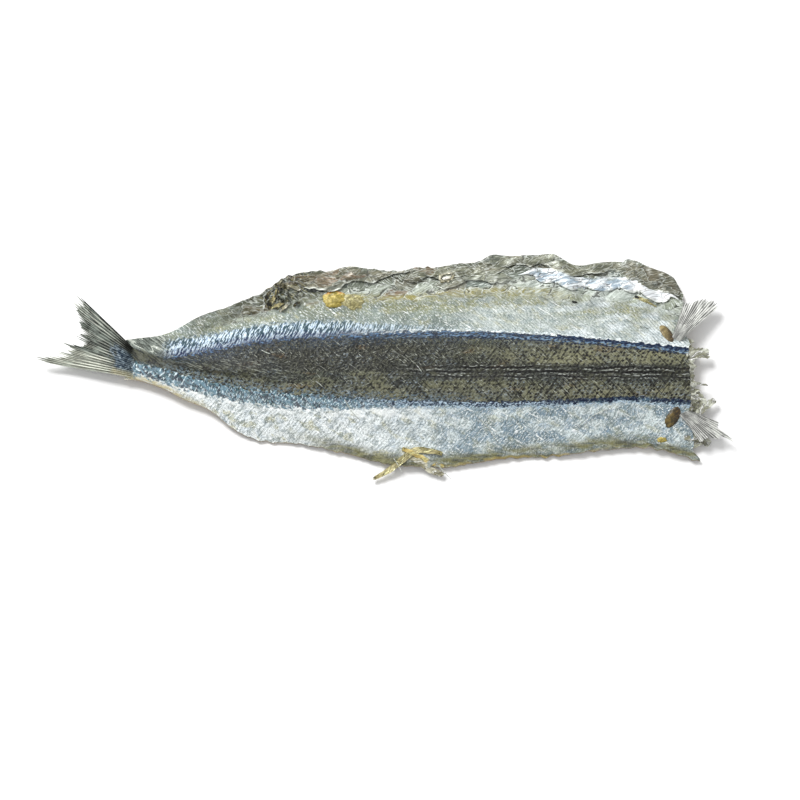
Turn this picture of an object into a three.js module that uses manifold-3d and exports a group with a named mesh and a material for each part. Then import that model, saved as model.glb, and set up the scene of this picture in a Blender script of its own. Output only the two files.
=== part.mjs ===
// A dried needlefish: headless, split along the belly and opened out flat, lying skin side up.
// Millimetres, +Z up. X runs along the fish with the tail fin at -X and the cut end at +X.
// +Y is the side whose thin belly wall has dried into ruffles and folds, the "far" side.
// The other side is the "near" side. The flesh side rests on Z = 0.
import * as THREE from 'three';
import { mergeVertices } from 'three/addons/utils/BufferGeometryUtils.js';
import Module from 'manifold-3d';

// ---- driving dimensions -------------------------------------------------------------------

const BODY_LENGTH = 256; // from the root of the tail fin to the cut behind the head
const BACK_HEIGHT = 10; // the thickest place, on the midline of the back
const RIM_THICKNESS = 1.3; // the dried belly wall at the margins
const ARCH_HEIGHT = 2.2; // how far the flesh side lifts between backbone and margin
const BACK_SHARE = 0.4; // part of each half, from the midline out, that the dark back takes

const FAR_WIDTH = 52; // midline to far margin at mid body
const NEAR_WIDTH = 39; // midline to near margin at mid body
const FAR_BACK = 19; // midline to the edge of the dark back, far side
const NEAR_BACK = 14; // the same, near side
const TAIL_RISE = 13; // how far the back line swings to the far side at the tail

const FLAP_START = 0.74; // share of the far half where the thin ruffled flap begins
const FLAP_WAVE = 1.5; // height of its crinkles
const LOBE_LENGTH = 11.5; // one silver lobe of the folded belly wall
const LOBE_HEIGHT = 2.0;
const LOBES_FROM = 186; // distances from the tail root
const LOBES_TO = 245;

const TAIL_LIFT = 1.5; // the dried stalk stands a little off the ground
const STALK_EDGE = 2; // rounding of the stalk's underside
const TAIL_RAYS = 21;
const TAIL_UPPER_LOBE = 32; // ray lengths of the forked tail fin
const TAIL_FORK = 21;
const TAIL_LOWER_LOBE = 47;
const TAIL_THICKNESS = 1.1;
const TAIL_ROOT_THICKNESS = 4.2; // the fleshy pad over the roots of the tail rays
const TAIL_PAD = 9; // and how far it reaches out

const PECTORAL_RAYS = 7;
const PECTORAL_LENGTH = 26;
const PECTORAL_THICKNESS = 0.9;

const STRIP_THICKNESS = 1.6; // torn strips of the belly fins
const RAG_THICKNESS = 0.9; // torn skin at the cut

const BODY_STEPS = 80; // mesh cells along the body
const HALF_STEPS = 11; // and from the midline to each margin
const SHORTEST_EDGE = 0.1; // shorter edges, left where pieces cross, are closed up
const FLATNESS = 0.01; // and so are corners that stand out less than this

// The middle of the footprint, from the tail root on the line of the back.
const ORIGIN_X = 117.9;
const ORIGIN_Y = 5.1;

// ---- small helpers ------------------------------------------------------------------------

const clamp = (value, low, high) => Math.min(high, Math.max(low, value));
const mix = (a, b, t) => a + (b - a) * t;

function smooth(from, to, value) {
  const t = clamp((value - from) / (to - from), 0, 1);
  return t * t * (3 - 2 * t);
}

// A soft bump that is 1 in the middle of a stretch and 0 outside it.
function bump(from, to, value) {
  const t = clamp((value - from) / (to - from), 0, 1);
  return Math.sin(Math.PI * t) ** 2;
}

// A smooth curve through stations [distance from the tail root, share of a driving size].
function along(stations, size) {
  const points = stations.map(([at, share]) => new THREE.Vector2(at, share * size));
  return (at) => {
    const last = points.length - 1;
    let i = 0;
    while (i < last - 1 && at > points[i + 1].x) {
      i += 1;
    }
    const [p, q] = [points[i], points[i + 1]];
    const before = points[Math.max(0, i - 1)];
    const after = points[Math.min(last, i + 2)];
    const span = q.x - p.x;
    const t = clamp((at - p.x) / span, 0, 1);
    const slopeIn = (span * (q.y - before.y)) / (q.x - before.x);
    const slopeOut = (span * (after.y - p.y)) / (after.x - p.x);
    const cubic = 2 * t ** 3 - 3 * t ** 2;
    return (
      p.y * (cubic + 1) - q.y * cubic + slopeIn * (t ** 3 - 2 * t ** 2 + t) + slopeOut * (t ** 3 - t ** 2)
    );
  };
}

// Seeded random numbers, so that every run gives the same fish.
function seeded(seed) {
  let state = seed;
  return () => {
    state = (state * 16807) % 2147483647;
    return state / 2147483647;
  };
}

// ---- the outline, seen from above ---------------------------------------------------------

const midline = along([[0, 1], [16, 0.57], [43, 0.22], [75, 0.04], [110, 0], [256, -0.03]], TAIL_RISE);
const backHeight = along(
  [[0, 0.45], [8, 0.64], [24, 0.74], [60, 0.9], [140, 1], [215, 0.95], [256, 0.82]],
  BACK_HEIGHT,
);

const farMargin = along(
  [[0, 0.33], [18, 0.38], [32, 0.52], [49, 0.67], [64, 0.81], [75.5, 0.935], [99, 0.985], [130, 0.985],
    [155, 1.055], [194, 1.08], [205, 1.0], [223, 1.03], [238, 0.955], [250, 0.865], [256, 0.76]],
  FAR_WIDTH,
);
const nearMargin = along(
  [[0, -0.04], [6, -0.05], [18, -0.16], [26, -0.27], [38, -0.4], [49, -0.62], [60, -0.75], [77, -0.79],
    [99, -0.91], [118, -1.04], [143, -1.07], [169, -0.97], [192, -0.94], [217, -0.86], [234, -0.85],
    [256, -1.0]],
  NEAR_WIDTH,
);
const farBackEdge = along(
  [[0, 0.76], [15, 0.44], [35, 0.57], [62, 0.82], [90, 0.92], [148, 1.04], [198, 0.92], [256, 0.64]],
  FAR_BACK,
);
const nearBackEdge = along(
  [[0, 0.45], [16, 0.14], [35, -0.27], [62, -0.63], [98, -0.87], [161, -1.04], [218, -0.91], [225, -0.84],
    [256, -0.97]],
  NEAR_BACK,
);

// Across the body, side runs from -1 at the near margin over 0 on the midline to 1 at the far
// margin, and the dark back always ends at BACK_SHARE.
function across(at, side) {
  const far = side > 0;
  const share = Math.abs(side);
  const backEdge = far ? farBackEdge(at) : nearBackEdge(at);
  const margin = far ? farMargin(at) : nearMargin(at);
  if (share < BACK_SHARE) {
    return mix(midline(at), backEdge, share / BACK_SHARE);
  }
  return mix(backEdge, margin, (share - BACK_SHARE) / (1 - BACK_SHARE));
}

// The ragged cut behind the head: nearly straight, a little longer at the near margin.
function cutEnd(side) {
  const ragged = 0.9 * Math.sin(side * 17) + 0.7 * Math.sin(side * 31 + 1);
  return BODY_LENGTH + ragged * smooth(0.3, 0.6, Math.abs(side)) + 2.5 * smooth(-0.5, -1, side);
}

// ---- heights ------------------------------------------------------------------------------

// The opened body is a low roof; near the tail it is a round stalk turned on its side.
function sectionHeight(at, side) {
  const share = Math.abs(side);
  const crown = 1 - 0.2 * (Math.min(share, BACK_SHARE) / BACK_SHARE) ** 2;
  const flank = 0.8 * (1 - clamp((share - BACK_SHARE) / (1 - BACK_SHARE), 0, 1)) ** 1.25;
  const roof = share < BACK_SHARE ? crown : flank;
  const stalk = side < 0 ? Math.sin((Math.PI * (side + 1)) / 1.35) ** 0.8 : 0.78 * (1 - side) ** 1.4;
  return mix(stalk, roof, smooth(8, 62, at));
}

// Both faces of the thin margins rise and fall together in slow waves.
function marginLift(at, side) {
  const share = Math.abs(side);
  if (side > 0) {
    const wave = 1.6 + 1.1 * Math.sin(at / 13) + 0.9 * Math.sin(at / 5.4 + 1.3);
    return wave * smooth(0.62, 1, share);
  }
  const wave = 0.7 + 0.6 * Math.sin(at / 17 + 0.6) + 0.4 * Math.sin(at / 6.1);
  return wave * smooth(0.7, 1, share);
}

// The crinkled flap of the far side, its fold line and the row of folded silver lobes.
function flapRelief(at, side) {
  const crinkle = Math.sin(at / 2.6 + 7 * side) + 0.7 * Math.sin(at / 4.3 - 19 * side + 2);
  const flap = smooth(FLAP_START, FLAP_START + 0.1, side) * smooth(20, 60, at);
  const fold = bump(FLAP_START - 0.12, FLAP_START + 0.04, side) * smooth(60, 95, at);
  const inRow = at > LOBES_FROM && at < LOBES_TO;
  const lobeRow = inRow ? Math.abs(Math.sin((Math.PI * (at - LOBES_FROM)) / LOBE_LENGTH)) : 0;
  const lobe = lobeRow * bump(FLAP_START - 0.1, FLAP_START + 0.2, side);
  const crumple = bump(62, 82, at) * smooth(0.62, 0.8, side) * (1 + Math.sin(at * 1.9 + 25 * side));
  return FLAP_WAVE * 0.5 * crinkle * flap + 0.9 * fold + LOBE_HEIGHT * lobe + 1.3 * crumple;
}

// The fin of the back lies folded down on the last third of the midline.
function foldedBackFin(at, side) {
  const length = smooth(14, 34, at) * (1 - smooth(50, 76, at));
  return 1.1 * length * bump(-0.22, 0.16, side);
}

// The round stalk before the tail fin rises off the ground, and its underside curves up.
function stalkLift(at, side) {
  const round = STALK_EDGE * (1 - sectionHeight(at, side)) * (1 - smooth(15, 60, at));
  return round + TAIL_LIFT * (1 - smooth(0, 55, at));
}

function topHeight(at, side) {
  const thick = RIM_THICKNESS + (backHeight(at) - RIM_THICKNESS) * sectionHeight(at, side);
  const furrow = 0.5 * bump(-0.1, 0.1, side) * smooth(120, 160, at);
  const lift = marginLift(at, side) * smooth(10, 40, at) + stalkLift(at, side);
  return thick + lift + flapRelief(at, side) + foldedBackFin(at, side) - furrow;
}

function bottomHeight(at, side) {
  const share = Math.abs(side);
  const arch = ARCH_HEIGHT * bump(0.12, 1, share) * smooth(40, 90, at);
  const sheet = smooth(FLAP_START - 0.2, FLAP_START + 0.12, side);
  const lift = marginLift(at, side) * smooth(10, 40, at) + stalkLift(at, side);
  return Math.max(0, arch + lift + flapRelief(at, side) * sheet);
}

// The height of the skin over a point of the plan, clamped to the body's outline.
function skinHeight(x, y) {
  const at = clamp(x, 0, BODY_LENGTH);
  const far = y > midline(at);
  const edge = far ? farBackEdge(at) : nearBackEdge(at);
  const margin = far ? farMargin(at) : nearMargin(at);
  const inner = (y - midline(at)) / (edge - midline(at));
  const outer = (y - edge) / (margin - edge);
  const share = inner < 1 ? BACK_SHARE * inner : mix(BACK_SHARE, 1, Math.min(outer, 1));
  return topHeight(at, far ? share : -share);
}

// ---- closed sheets ------------------------------------------------------------------------

// Two point grids of the same layout, a top and a bottom one, become one closed thin solid. Both
// faces are split into triangles alike, and a strip of wall runs round the rim.
function closedSheet(columns, rows, topPoint, bottomPoint) {
  const positions = [];
  for (const point of [topPoint, bottomPoint]) {
    for (let i = 0; i <= columns; i += 1) {
      for (let j = 0; j <= rows; j += 1) {
        positions.push(...point(i / columns, j / rows));
      }
    }
  }
  const layer = (columns + 1) * (rows + 1);
  const at = (i, j) => i * (rows + 1) + j;
  const triangles = [];
  for (let i = 0; i < columns; i += 1) {
    for (let j = 0; j < rows; j += 1) {
      const [a, b, c, d] = [at(i, j), at(i + 1, j), at(i + 1, j + 1), at(i, j + 1)];
      triangles.push(a, b, c, a, c, d);
      triangles.push(a + layer, c + layer, b + layer, a + layer, d + layer, c + layer);
    }
  }
  const rim = [];
  for (let i = 0; i < columns; i += 1) {
    rim.push(at(i, 0));
  }
  for (let j = 0; j < rows; j += 1) {
    rim.push(at(columns, j));
  }
  for (let i = columns; i > 0; i -= 1) {
    rim.push(at(i, rows));
  }
  for (let j = rows; j > 0; j -= 1) {
    rim.push(at(0, j));
  }
  rim.forEach((here, k) => {
    const next = rim[(k + 1) % rim.length];
    triangles.push(here, next + layer, next, here, here + layer, next + layer);
  });
  return { positions, triangles };
}

// ---- the body -----------------------------------------------------------------------------

function bodyPoint(heightOf) {
  return (u, v) => {
    const side = 2 * v - 1;
    const at = u * BODY_LENGTH;
    const x = u * cutEnd(side);
    return [x, across(at, side), heightOf(at, side)];
  };
}

function body() {
  return closedSheet(BODY_STEPS, 2 * HALF_STEPS, bodyPoint(topHeight), bodyPoint(bottomHeight));
}

// ---- fins ---------------------------------------------------------------------------------

// A fin is a fan of stiff rays with thin skin between them. The skin has torn and dried back, so
// the rays stand out at the end as a ragged comb. Each ray takes two columns: crest and valley.
function fin({ rays, steps, root, direction, reach, bend, height, thickness, tear, seed }) {
  const random = seeded(seed);
  const columns = 2 * rays;
  const trims = Array.from({ length: columns + 1 }, (_, k) => {
    const crest = k % 2 === 0;
    return crest ? 1 - 0.1 * random() : 1 - tear * (0.5 + 0.5 * random());
  });
  const point = (sign) => (u, v) => {
    const k = Math.round(u * columns);
    const crest = k % 2 === 0;
    const [x, y] = root(u);
    const distance = v * reach(u) * trims[k];
    const angle = THREE.MathUtils.degToRad(direction(u) + bend * v * (u - 0.4));
    const z = height(u, distance) + (sign * thickness(distance, v, crest, u)) / 2;
    return [x + distance * Math.cos(angle), y + distance * Math.sin(angle), z];
  };
  return closedSheet(columns, steps, point(1), point(-1));
}

// The forked tail fin lies on its side; u runs from its upper edge to its lower edge.
function tailFin() {
  const fork = 0.5;
  return fin({
    rays: TAIL_RAYS,
    steps: 10,
    root: (u) => [mix(1, 4, u), mix(16, -0.4, u)],
    direction: (u) => 132 + 61 * u - 18 * u ** 2,
    reach: (u) => {
      const lobe = u < fork ? TAIL_UPPER_LOBE : TAIL_LOWER_LOBE;
      const away = Math.abs(u - fork) / (1 - fork);
      return mix(TAIL_FORK, lobe, away ** (u < fork ? 1.0 : 0.75)) + 2;
    },
    bend: -10,
    height: (u, distance) => 3.9 + 0.07 * distance * (1 - u) + 0.5 * Math.sin(distance / 6),
    thickness: (distance, v, crest, u) => {
      const ray = TAIL_THICKNESS * mix(1, 0.45, v) * (crest ? 1 : 0.55);
      const pad = TAIL_ROOT_THICKNESS * (0.35 + 0.65 * Math.sin(Math.PI * u));
      return mix(pad, ray, smooth(-0.3 * TAIL_PAD, TAIL_PAD, distance));
    },
    tear: 0.34,
    seed: 11,
  });
}

function pectoralFin(far) {
  const turn = far ? 1 : -1;
  const rootAt = far ? 250 : 252;
  const rootSide = far ? 15.5 : -15;
  const skin = skinHeight(rootAt, rootSide);
  return fin({
    rays: PECTORAL_RAYS,
    steps: 6,
    root: (u) => [rootAt + mix(3, -3, u), rootSide + turn * mix(-1.5, 2.5, u)],
    direction: (u) => (far ? mix(56, 78, u) : -mix(33, 60, u)),
    reach: (u) => PECTORAL_LENGTH * (far ? mix(1.05, 0.72, u) : mix(0.88, 0.7, u)),
    bend: far ? 10 : -14,
    height: (u, distance) => skin - 0.3 + 2.2 * smooth(0, 6, distance) - 0.13 * distance,
    thickness: (distance, v, crest) => PECTORAL_THICKNESS * mix(1, 0.45, v) * (crest ? 1 : 0.55),
    tear: 0.3,
    seed: far ? 5 : 7,
  });
}

// ---- torn strips --------------------------------------------------------------------------

// A torn strip of dried skin follows a few points and tapers to its ends.
function strip(points, width, thickness) {
  const curve = new THREE.CatmullRomCurve3(points.map((p) => new THREE.Vector3(...p)));
  const point = (sign) => (u, v) => {
    const centre = curve.getPoint(u);
    const tangent = curve.getTangent(u);
    const half = (width / 2) * (0.3 + 0.7 * Math.sin(Math.PI * mix(0.12, 0.92, u)));
    const offset = (2 * v - 1) * half;
    const norm = Math.hypot(tangent.x, tangent.y);
    const x = centre.x - (offset * tangent.y) / norm;
    const y = centre.y + (offset * tangent.x) / norm;
    return [x, y, centre.z + (sign * thickness) / 2];
  };
  return closedSheet(7, 2, point(1), point(-1));
}

// What is left of the belly fins: a forked ribbon that lies over the near margin.
function pelvicStrips() {
  const laid = ([x, y]) => [x, y, Math.max(STRIP_THICKNESS / 2, skinHeight(x, y) - 0.2)];
  const droops = (points) => {
    const path = points.map(laid);
    path.at(-1)[2] = STRIP_THICKNESS;
    path.at(-2)[2] *= 0.7;
    return path;
  };
  return [
    strip(droops([[144, -36], [137, -34.5], [130, -35], [123, -41], [118, -45.5]]), 3.8, STRIP_THICKNESS),
    strip(droops([[128, -34], [133, -38.5], [139, -43.5], [146, -45.5]]), 3, STRIP_THICKNESS),
  ];
}

// Rags of skin that hang out past the cut.
function cutRags() {
  return [
    strip([[251, 9, 5.4], [257, 9.6, 5.6], [261.5, 11, 5], [266.5, 12, 4.4]], 5, RAG_THICKNESS),
    strip([[251, -10, 4.8], [257, -9.6, 4.8], [260, -11, 4.2], [262.5, -13.5, 3.6]], 6, RAG_THICKNESS),
    strip([[252, -18, 3.6], [259, -15.5, 3.9], [264, -13, 3.6], [268.5, -11.5, 3]], 3.2, RAG_THICKNESS),
    strip([[251, -28, 2.6], [258, -28, 2.8], [261.5, -29, 2.3], [264.5, -31.5, 1.8]], 4.5, RAG_THICKNESS),
  ];
}

// ---- one solid ----------------------------------------------------------------------------

const wasm = await Module();
wasm.setup();

// A sheet whose columns and rows turn the other way round would be inside out, so it is reversed.
function toSolid({ positions, triangles }) {
  const raw = new THREE.BufferGeometry();
  raw.setAttribute('position', new THREE.Float32BufferAttribute(positions, 3));
  raw.setIndex(triangles);
  const merged = mergeVertices(raw, 1e-4);
  const vertProperties = new Float32Array(merged.getAttribute('position').array);
  const triVerts = new Uint32Array(merged.getIndex().array);
  const closed = (corners) => new wasm.Manifold(new wasm.Mesh({ numProp: 3, vertProperties, triVerts: corners }));
  const solid = closed(triVerts);
  return solid.volume() > 0 ? solid : closed(triVerts.toReversed());
}

// Where pieces cross, the join leaves corners a hair apart. Each such pair becomes one corner.
function withoutSlivers(solid) {
  const { vertProperties, triVerts } = solid.getMesh();
  const place = (index) => new THREE.Vector3().fromArray(vertProperties, 3 * index);
  const keeper = Array.from({ length: vertProperties.length / 3 }, (_, index) => index);
  const kept = (index) => {
    let found = index;
    while (keeper[found] !== found) {
      found = keeper[found];
    }
    return found;
  };
  const corners = (i) => [triVerts[i], triVerts[i + 1], triVerts[i + 2]].map(kept);
  for (let i = 0; i < triVerts.length; i += 3) {
    for (const [from, to] of [[0, 1], [1, 2], [2, 0]]) {
      const [a, b] = [kept(triVerts[i + from]), kept(triVerts[i + to])];
      if (a !== b && place(a).distanceTo(place(b)) < SHORTEST_EDGE) {
        keeper[Math.max(a, b)] = Math.min(a, b);
      }
    }
  }
  const triangles = [];
  for (let i = 0; i < triVerts.length; i += 3) {
    const [a, b, c] = corners(i);
    if (a !== b && b !== c && a !== c) {
      triangles.push(a, b, c);
    }
  }
  const mesh = new wasm.Mesh({ numProp: 3, vertProperties, triVerts: new Uint32Array(triangles) });
  return new wasm.Manifold(mesh).asOriginal().simplify(FLATNESS);
}

function toGeometry(solid) {
  const { vertProperties, triVerts } = solid.getMesh();
  const geometry = new THREE.BufferGeometry();
  geometry.setAttribute('position', new THREE.Float32BufferAttribute(vertProperties, 3));
  geometry.setIndex(new THREE.Uint32BufferAttribute(triVerts, 1));
  geometry.computeVertexNormals();
  return geometry;
}

const pieces = [
  body(),
  tailFin(),
  pectoralFin(true),
  pectoralFin(false),
  ...pelvicStrips(),
  ...cutRags(),
];
const whole = withoutSlivers(pieces.map(toSolid).reduce((sum, piece) => sum.add(piece)));

const skin = new THREE.MeshStandardMaterial({ color: '#8f9795', roughness: 0.42, metalness: 0.15 });
const fish = new THREE.Mesh(toGeometry(whole), skin);
fish.name = 'dried_needlefish';

fish.geometry.translate(-ORIGIN_X, -ORIGIN_Y, 0);

const needlefish = new THREE.Group();
needlefish.add(fish);

export default needlefish;
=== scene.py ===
# %% [markdown]
# # A dried needlefish
#
# The fish has no head. It was split along the belly, opened out flat and dried, and it lies with
# its skin up: a dark back with a blue line on each side, silver flanks, a crinkled belly wall
# along one margin, and a forked tail fin that lies on its side. This lesson dresses the plain
# solid of the fish with fine meshes and with skin, fin and flesh finishes.
#
# The imported solid is loaded first. The dressed fish must not outgrow it.

# %% Load the imported fish
import math
import random

import bpy
import numpy as np
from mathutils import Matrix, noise


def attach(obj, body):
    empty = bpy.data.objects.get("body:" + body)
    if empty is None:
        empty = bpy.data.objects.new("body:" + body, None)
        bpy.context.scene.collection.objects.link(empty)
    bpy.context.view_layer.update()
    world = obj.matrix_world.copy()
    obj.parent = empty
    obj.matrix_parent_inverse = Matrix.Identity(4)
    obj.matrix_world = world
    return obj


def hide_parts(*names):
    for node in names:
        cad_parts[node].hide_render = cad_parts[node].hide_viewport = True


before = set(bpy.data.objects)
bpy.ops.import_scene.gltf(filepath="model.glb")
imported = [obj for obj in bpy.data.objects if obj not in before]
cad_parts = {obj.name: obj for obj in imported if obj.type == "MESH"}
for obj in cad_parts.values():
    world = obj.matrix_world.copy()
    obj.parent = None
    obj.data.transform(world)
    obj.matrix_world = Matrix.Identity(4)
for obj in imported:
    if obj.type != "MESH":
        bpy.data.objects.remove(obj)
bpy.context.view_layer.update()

# %% [markdown]
# ## Sizes
#
# The outline of the fish was worked out once, for the solid, as stations along its length. The
# same stations are used here, in millimetres, so that the fine meshes have the same form. A
# length is measured from the root of the tail fin, and a height from the ground.

# %% Driving sizes, in millimetres
MM = 0.001
BODY_LENGTH = 256
BACK_HEIGHT = 10
RIM_THICKNESS = 1.3
ARCH_HEIGHT = 2.2
BACK_SHARE = 0.4
FAR_WIDTH = 52
NEAR_WIDTH = 39
FAR_BACK = 19
NEAR_BACK = 14
TAIL_RISE = 13
MUSCLE_PITCH = 4.3
FLAP_START = 0.74
LOBES_FROM = 186
LOBES_TO = 245
LOBE_LENGTH = 11.5
ORIGIN_X = 117.9
ORIGIN_Y = 5.1
print("body", BODY_LENGTH, "mm long, its back", BACK_HEIGHT, "mm high")

# %% [markdown]
# ## Curves through stations
#
# A smooth step, a soft bump and a cubic curve are all that the outline needs. They take whole
# arrays of places at once, because a fine mesh asks for tens of thousands of them.

# %% Steps, bumps and curves


def mix(a, b, t):
    return a + (b - a) * t


def smooth(start, end, value):
    t = np.clip((value - start) / (end - start), 0, 1)
    return t * t * (3 - 2 * t)


def bump(start, end, value):
    t = np.clip((value - start) / (end - start), 0, 1)
    return np.sin(np.pi * t) ** 2


def along(stations, size):
    places, shares = np.array(stations, float).T
    widths = shares * size
    last = len(places) - 1

    def curve(at):
        at = np.asarray(at, float)
        i = np.clip(np.searchsorted(places, at) - 1, 0, last - 1)
        before, after = np.maximum(i - 1, 0), np.minimum(i + 2, last)
        span = places[i + 1] - places[i]
        t = np.clip((at - places[i]) / span, 0, 1)
        slope_in = span * (widths[i + 1] - widths[before]) / (places[i + 1] - places[before])
        slope_out = span * (widths[after] - widths[i]) / (places[after] - places[i])
        cubic = 2 * t**3 - 3 * t**2
        bends = slope_in * (t**3 - 2 * t**2 + t) + slope_out * (t**3 - t**2)
        return widths[i] * (cubic + 1) - widths[i + 1] * cubic + bends

    return curve


def grain(x, y, size, seed=0.0):
    """Smooth noise from -1 to 1 with features of about this size, for arrays of places."""
    return np.array([noise.noise((a, b, seed)) for a, b in zip(x / size, y / size)])


# %% [markdown]
# ## The outline, seen from above
#
# The back line, the two edges of the dark back and the two margins, each as a curve along the
# fish. Across the body a place is called side: -1 on the near margin, 0 on the back line and 1
# on the far margin, and the dark back always ends at 0.4.

# %% The outline
midline = along([[0, 1], [16, 0.57], [43, 0.22], [75, 0.04], [110, 0], [256, -0.03]], TAIL_RISE)
back_height = along(
    [[0, 0.45], [8, 0.64], [24, 0.74], [60, 0.9], [140, 1], [215, 0.95], [256, 0.82]], BACK_HEIGHT
)
far_margin = along(
    [
        [0, 0.33], [18, 0.38], [32, 0.52], [49, 0.67], [64, 0.81], [75.5, 0.935], [99, 0.985],
        [130, 0.985], [155, 1.055], [194, 1.08], [205, 1.0], [223, 1.03], [238, 0.955],
        [250, 0.865], [256, 0.76],
    ],
    FAR_WIDTH,
)  # fmt: skip
near_margin = along(
    [
        [0, -0.04], [6, -0.05], [18, -0.16], [26, -0.27], [38, -0.4], [49, -0.62], [60, -0.75],
        [77, -0.79], [99, -0.91], [118, -1.04], [143, -1.07], [169, -0.97], [192, -0.94],
        [217, -0.86], [234, -0.85], [256, -1.0],
    ],
    NEAR_WIDTH,
)  # fmt: skip
far_back_edge = along(
    [
        [0, 0.76], [15, 0.44], [35, 0.57], [62, 0.82], [90, 0.92], [148, 1.04], [198, 0.92],
        [256, 0.64],
    ],
    FAR_BACK,
)  # fmt: skip
near_back_edge = along(
    [
        [0, 0.45], [16, 0.14], [35, -0.27], [62, -0.63], [98, -0.87], [161, -1.04], [218, -0.91],
        [225, -0.84], [256, -0.97],
    ],
    NEAR_BACK,
)  # fmt: skip


def edges_at(at, far):
    back = np.where(far, far_back_edge(at), near_back_edge(at))
    margin = np.where(far, far_margin(at), near_margin(at))
    return back, margin


def across(at, side):
    back, margin = edges_at(at, side > 0)
    share = np.abs(side)
    inner = mix(midline(at), back, share / BACK_SHARE)
    outer = mix(back, margin, (share - BACK_SHARE) / (1 - BACK_SHARE))
    return np.where(share < BACK_SHARE, inner, outer)


def side_of(at, y):
    """The reverse of across: which side a place of the plan is on."""
    far = y > midline(at)
    back, margin = edges_at(at, far)
    inner = (y - midline(at)) / (back - midline(at))
    outer = np.clip((y - back) / (margin - back), 0, 1)
    share = np.where(inner < 1, BACK_SHARE * inner, mix(BACK_SHARE, 1, outer))
    return np.where(far, share, -share)


print("widest", round(float(far_margin(194) - near_margin(143)), 1), "mm")

# %% [markdown]
# ## Heights of skin and flesh side
#
# The opened body is a low roof, and near the tail a round stalk. The thin belly wall waves up
# and down. Fine relief is added that the solid leaves out: shallow dents from drying, the muscle
# segments that show through the skin, and the sharp crinkles of the belly wall.

# %% Heights


def section_height(at, side):
    share = np.abs(side)
    crown = 1 - 0.2 * (np.minimum(share, BACK_SHARE) / BACK_SHARE) ** 2
    flank = 0.8 * (1 - np.clip((share - BACK_SHARE) / (1 - BACK_SHARE), 0, 1)) ** 1.25
    roof = np.where(share < BACK_SHARE, crown, flank)
    near = np.sin(np.pi * (np.minimum(side, 0) + 1) / 1.35).clip(0) ** 0.8
    stalk = np.where(side < 0, near, 0.78 * (1 - side).clip(0) ** 1.4)
    return mix(stalk, roof, smooth(8, 62, at))


def margin_lift(at, side):
    far = 1.6 + 1.1 * np.sin(at / 13) + 0.9 * np.sin(at / 5.4 + 1.3)
    near = 0.7 + 0.6 * np.sin(at / 17 + 0.6) + 0.4 * np.sin(at / 6.1)
    return np.where(side > 0, far * smooth(0.62, 1, side), near * smooth(0.7, 1, -side))


def flap_relief(at, side):
    crinkle = np.sin(at / 2.6 + 7 * side) + 0.7 * np.sin(at / 4.3 - 19 * side + 2)
    flap = smooth(FLAP_START, FLAP_START + 0.1, side) * smooth(20, 60, at)
    fold = bump(FLAP_START - 0.12, FLAP_START + 0.04, side) * smooth(60, 95, at)
    row = (at > LOBES_FROM) & (at < LOBES_TO)
    lobe = np.where(row, np.abs(np.sin(np.pi * (at - LOBES_FROM) / LOBE_LENGTH)), 0)
    lobes = lobe * bump(FLAP_START - 0.1, FLAP_START + 0.2, side)
    crumple = bump(62, 82, at) * smooth(0.62, 0.8, side) * (1 + np.sin(at * 1.9 + 25 * side))
    return 0.75 * crinkle * flap + 0.9 * fold + 2 * lobes + 1.3 * crumple


def stalk_lift(at, side):
    rounded = 2 * (1 - section_height(at, side)) * (1 - smooth(15, 60, at))
    return rounded + 1.5 * (1 - smooth(0, 55, at))


def ridges(x, y, size, stretch, angle, seed):
    """Sharp ridges, 1 at the crest, that run in the direction of the angle."""
    turn = math.radians(angle)
    lengthwise = x * math.cos(turn) + y * math.sin(turn)
    crosswise = y * math.cos(turn) - x * math.sin(turn)
    return 1 - 3 * np.abs(grain(lengthwise / stretch, crosswise, size, seed))


def crinkles(at, side):
    """Sharp creases of the dried belly wall, mostly along its length."""
    width = FAR_WIDTH * side
    long_ridges = ridges(at, width, 4.2, 4, 5, 3.5)
    slanted = ridges(at, width, 3.2, 4, 34, 8.5)
    crossing = ridges(at, width, 3, 3, -24, 13.5)
    rough = 0.3 * long_ridges + 0.16 * slanted + 0.08 * crossing
    return smooth(0.68, 0.82, side) * smooth(25, 62, at) * rough


def fine_relief(at, side):
    girth = across(at, side) - midline(at)
    flank = smooth(0.42, 0.55, np.abs(side))
    segments = 0.09 * np.sin(2 * np.pi * (at + 0.9 * np.abs(girth)) / MUSCLE_PITCH) * flank
    dents = 0.3 * grain(at, girth, 15, 1) + 0.1 * grain(at, girth, 4, 2)
    return (segments + dents) * smooth(10, 40, at)


def top_height(at, side):
    thick = RIM_THICKNESS + (back_height(at) - RIM_THICKNESS) * section_height(at, side)
    furrow = 0.5 * bump(-0.1, 0.1, side) * smooth(120, 160, at)
    folded_fin = 1.1 * smooth(14, 34, at) * (1 - smooth(50, 76, at)) * bump(-0.22, 0.16, side)
    lift = margin_lift(at, side) * smooth(10, 40, at) + stalk_lift(at, side)
    return thick + lift + flap_relief(at, side) + folded_fin - furrow


def skin_height(at, side):
    return top_height(at, side) + fine_relief(at, side) + crinkles(at, side)


def flesh_height(at, side):
    arch = ARCH_HEIGHT * bump(0.12, 1, np.abs(side)) * smooth(40, 90, at)
    sheet = smooth(FLAP_START - 0.2, FLAP_START + 0.12, side)
    lift = margin_lift(at, side) * smooth(10, 40, at) + stalk_lift(at, side)
    relief = (flap_relief(at, side) + crinkles(at, side)) * sheet
    return np.maximum(0, arch + lift + relief)


back_line_top = top_height(np.linspace(60, 240, 19), np.zeros(19))
print("back line", back_line_top.min().round(1), "to", back_line_top.max().round(1), "mm high")

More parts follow.
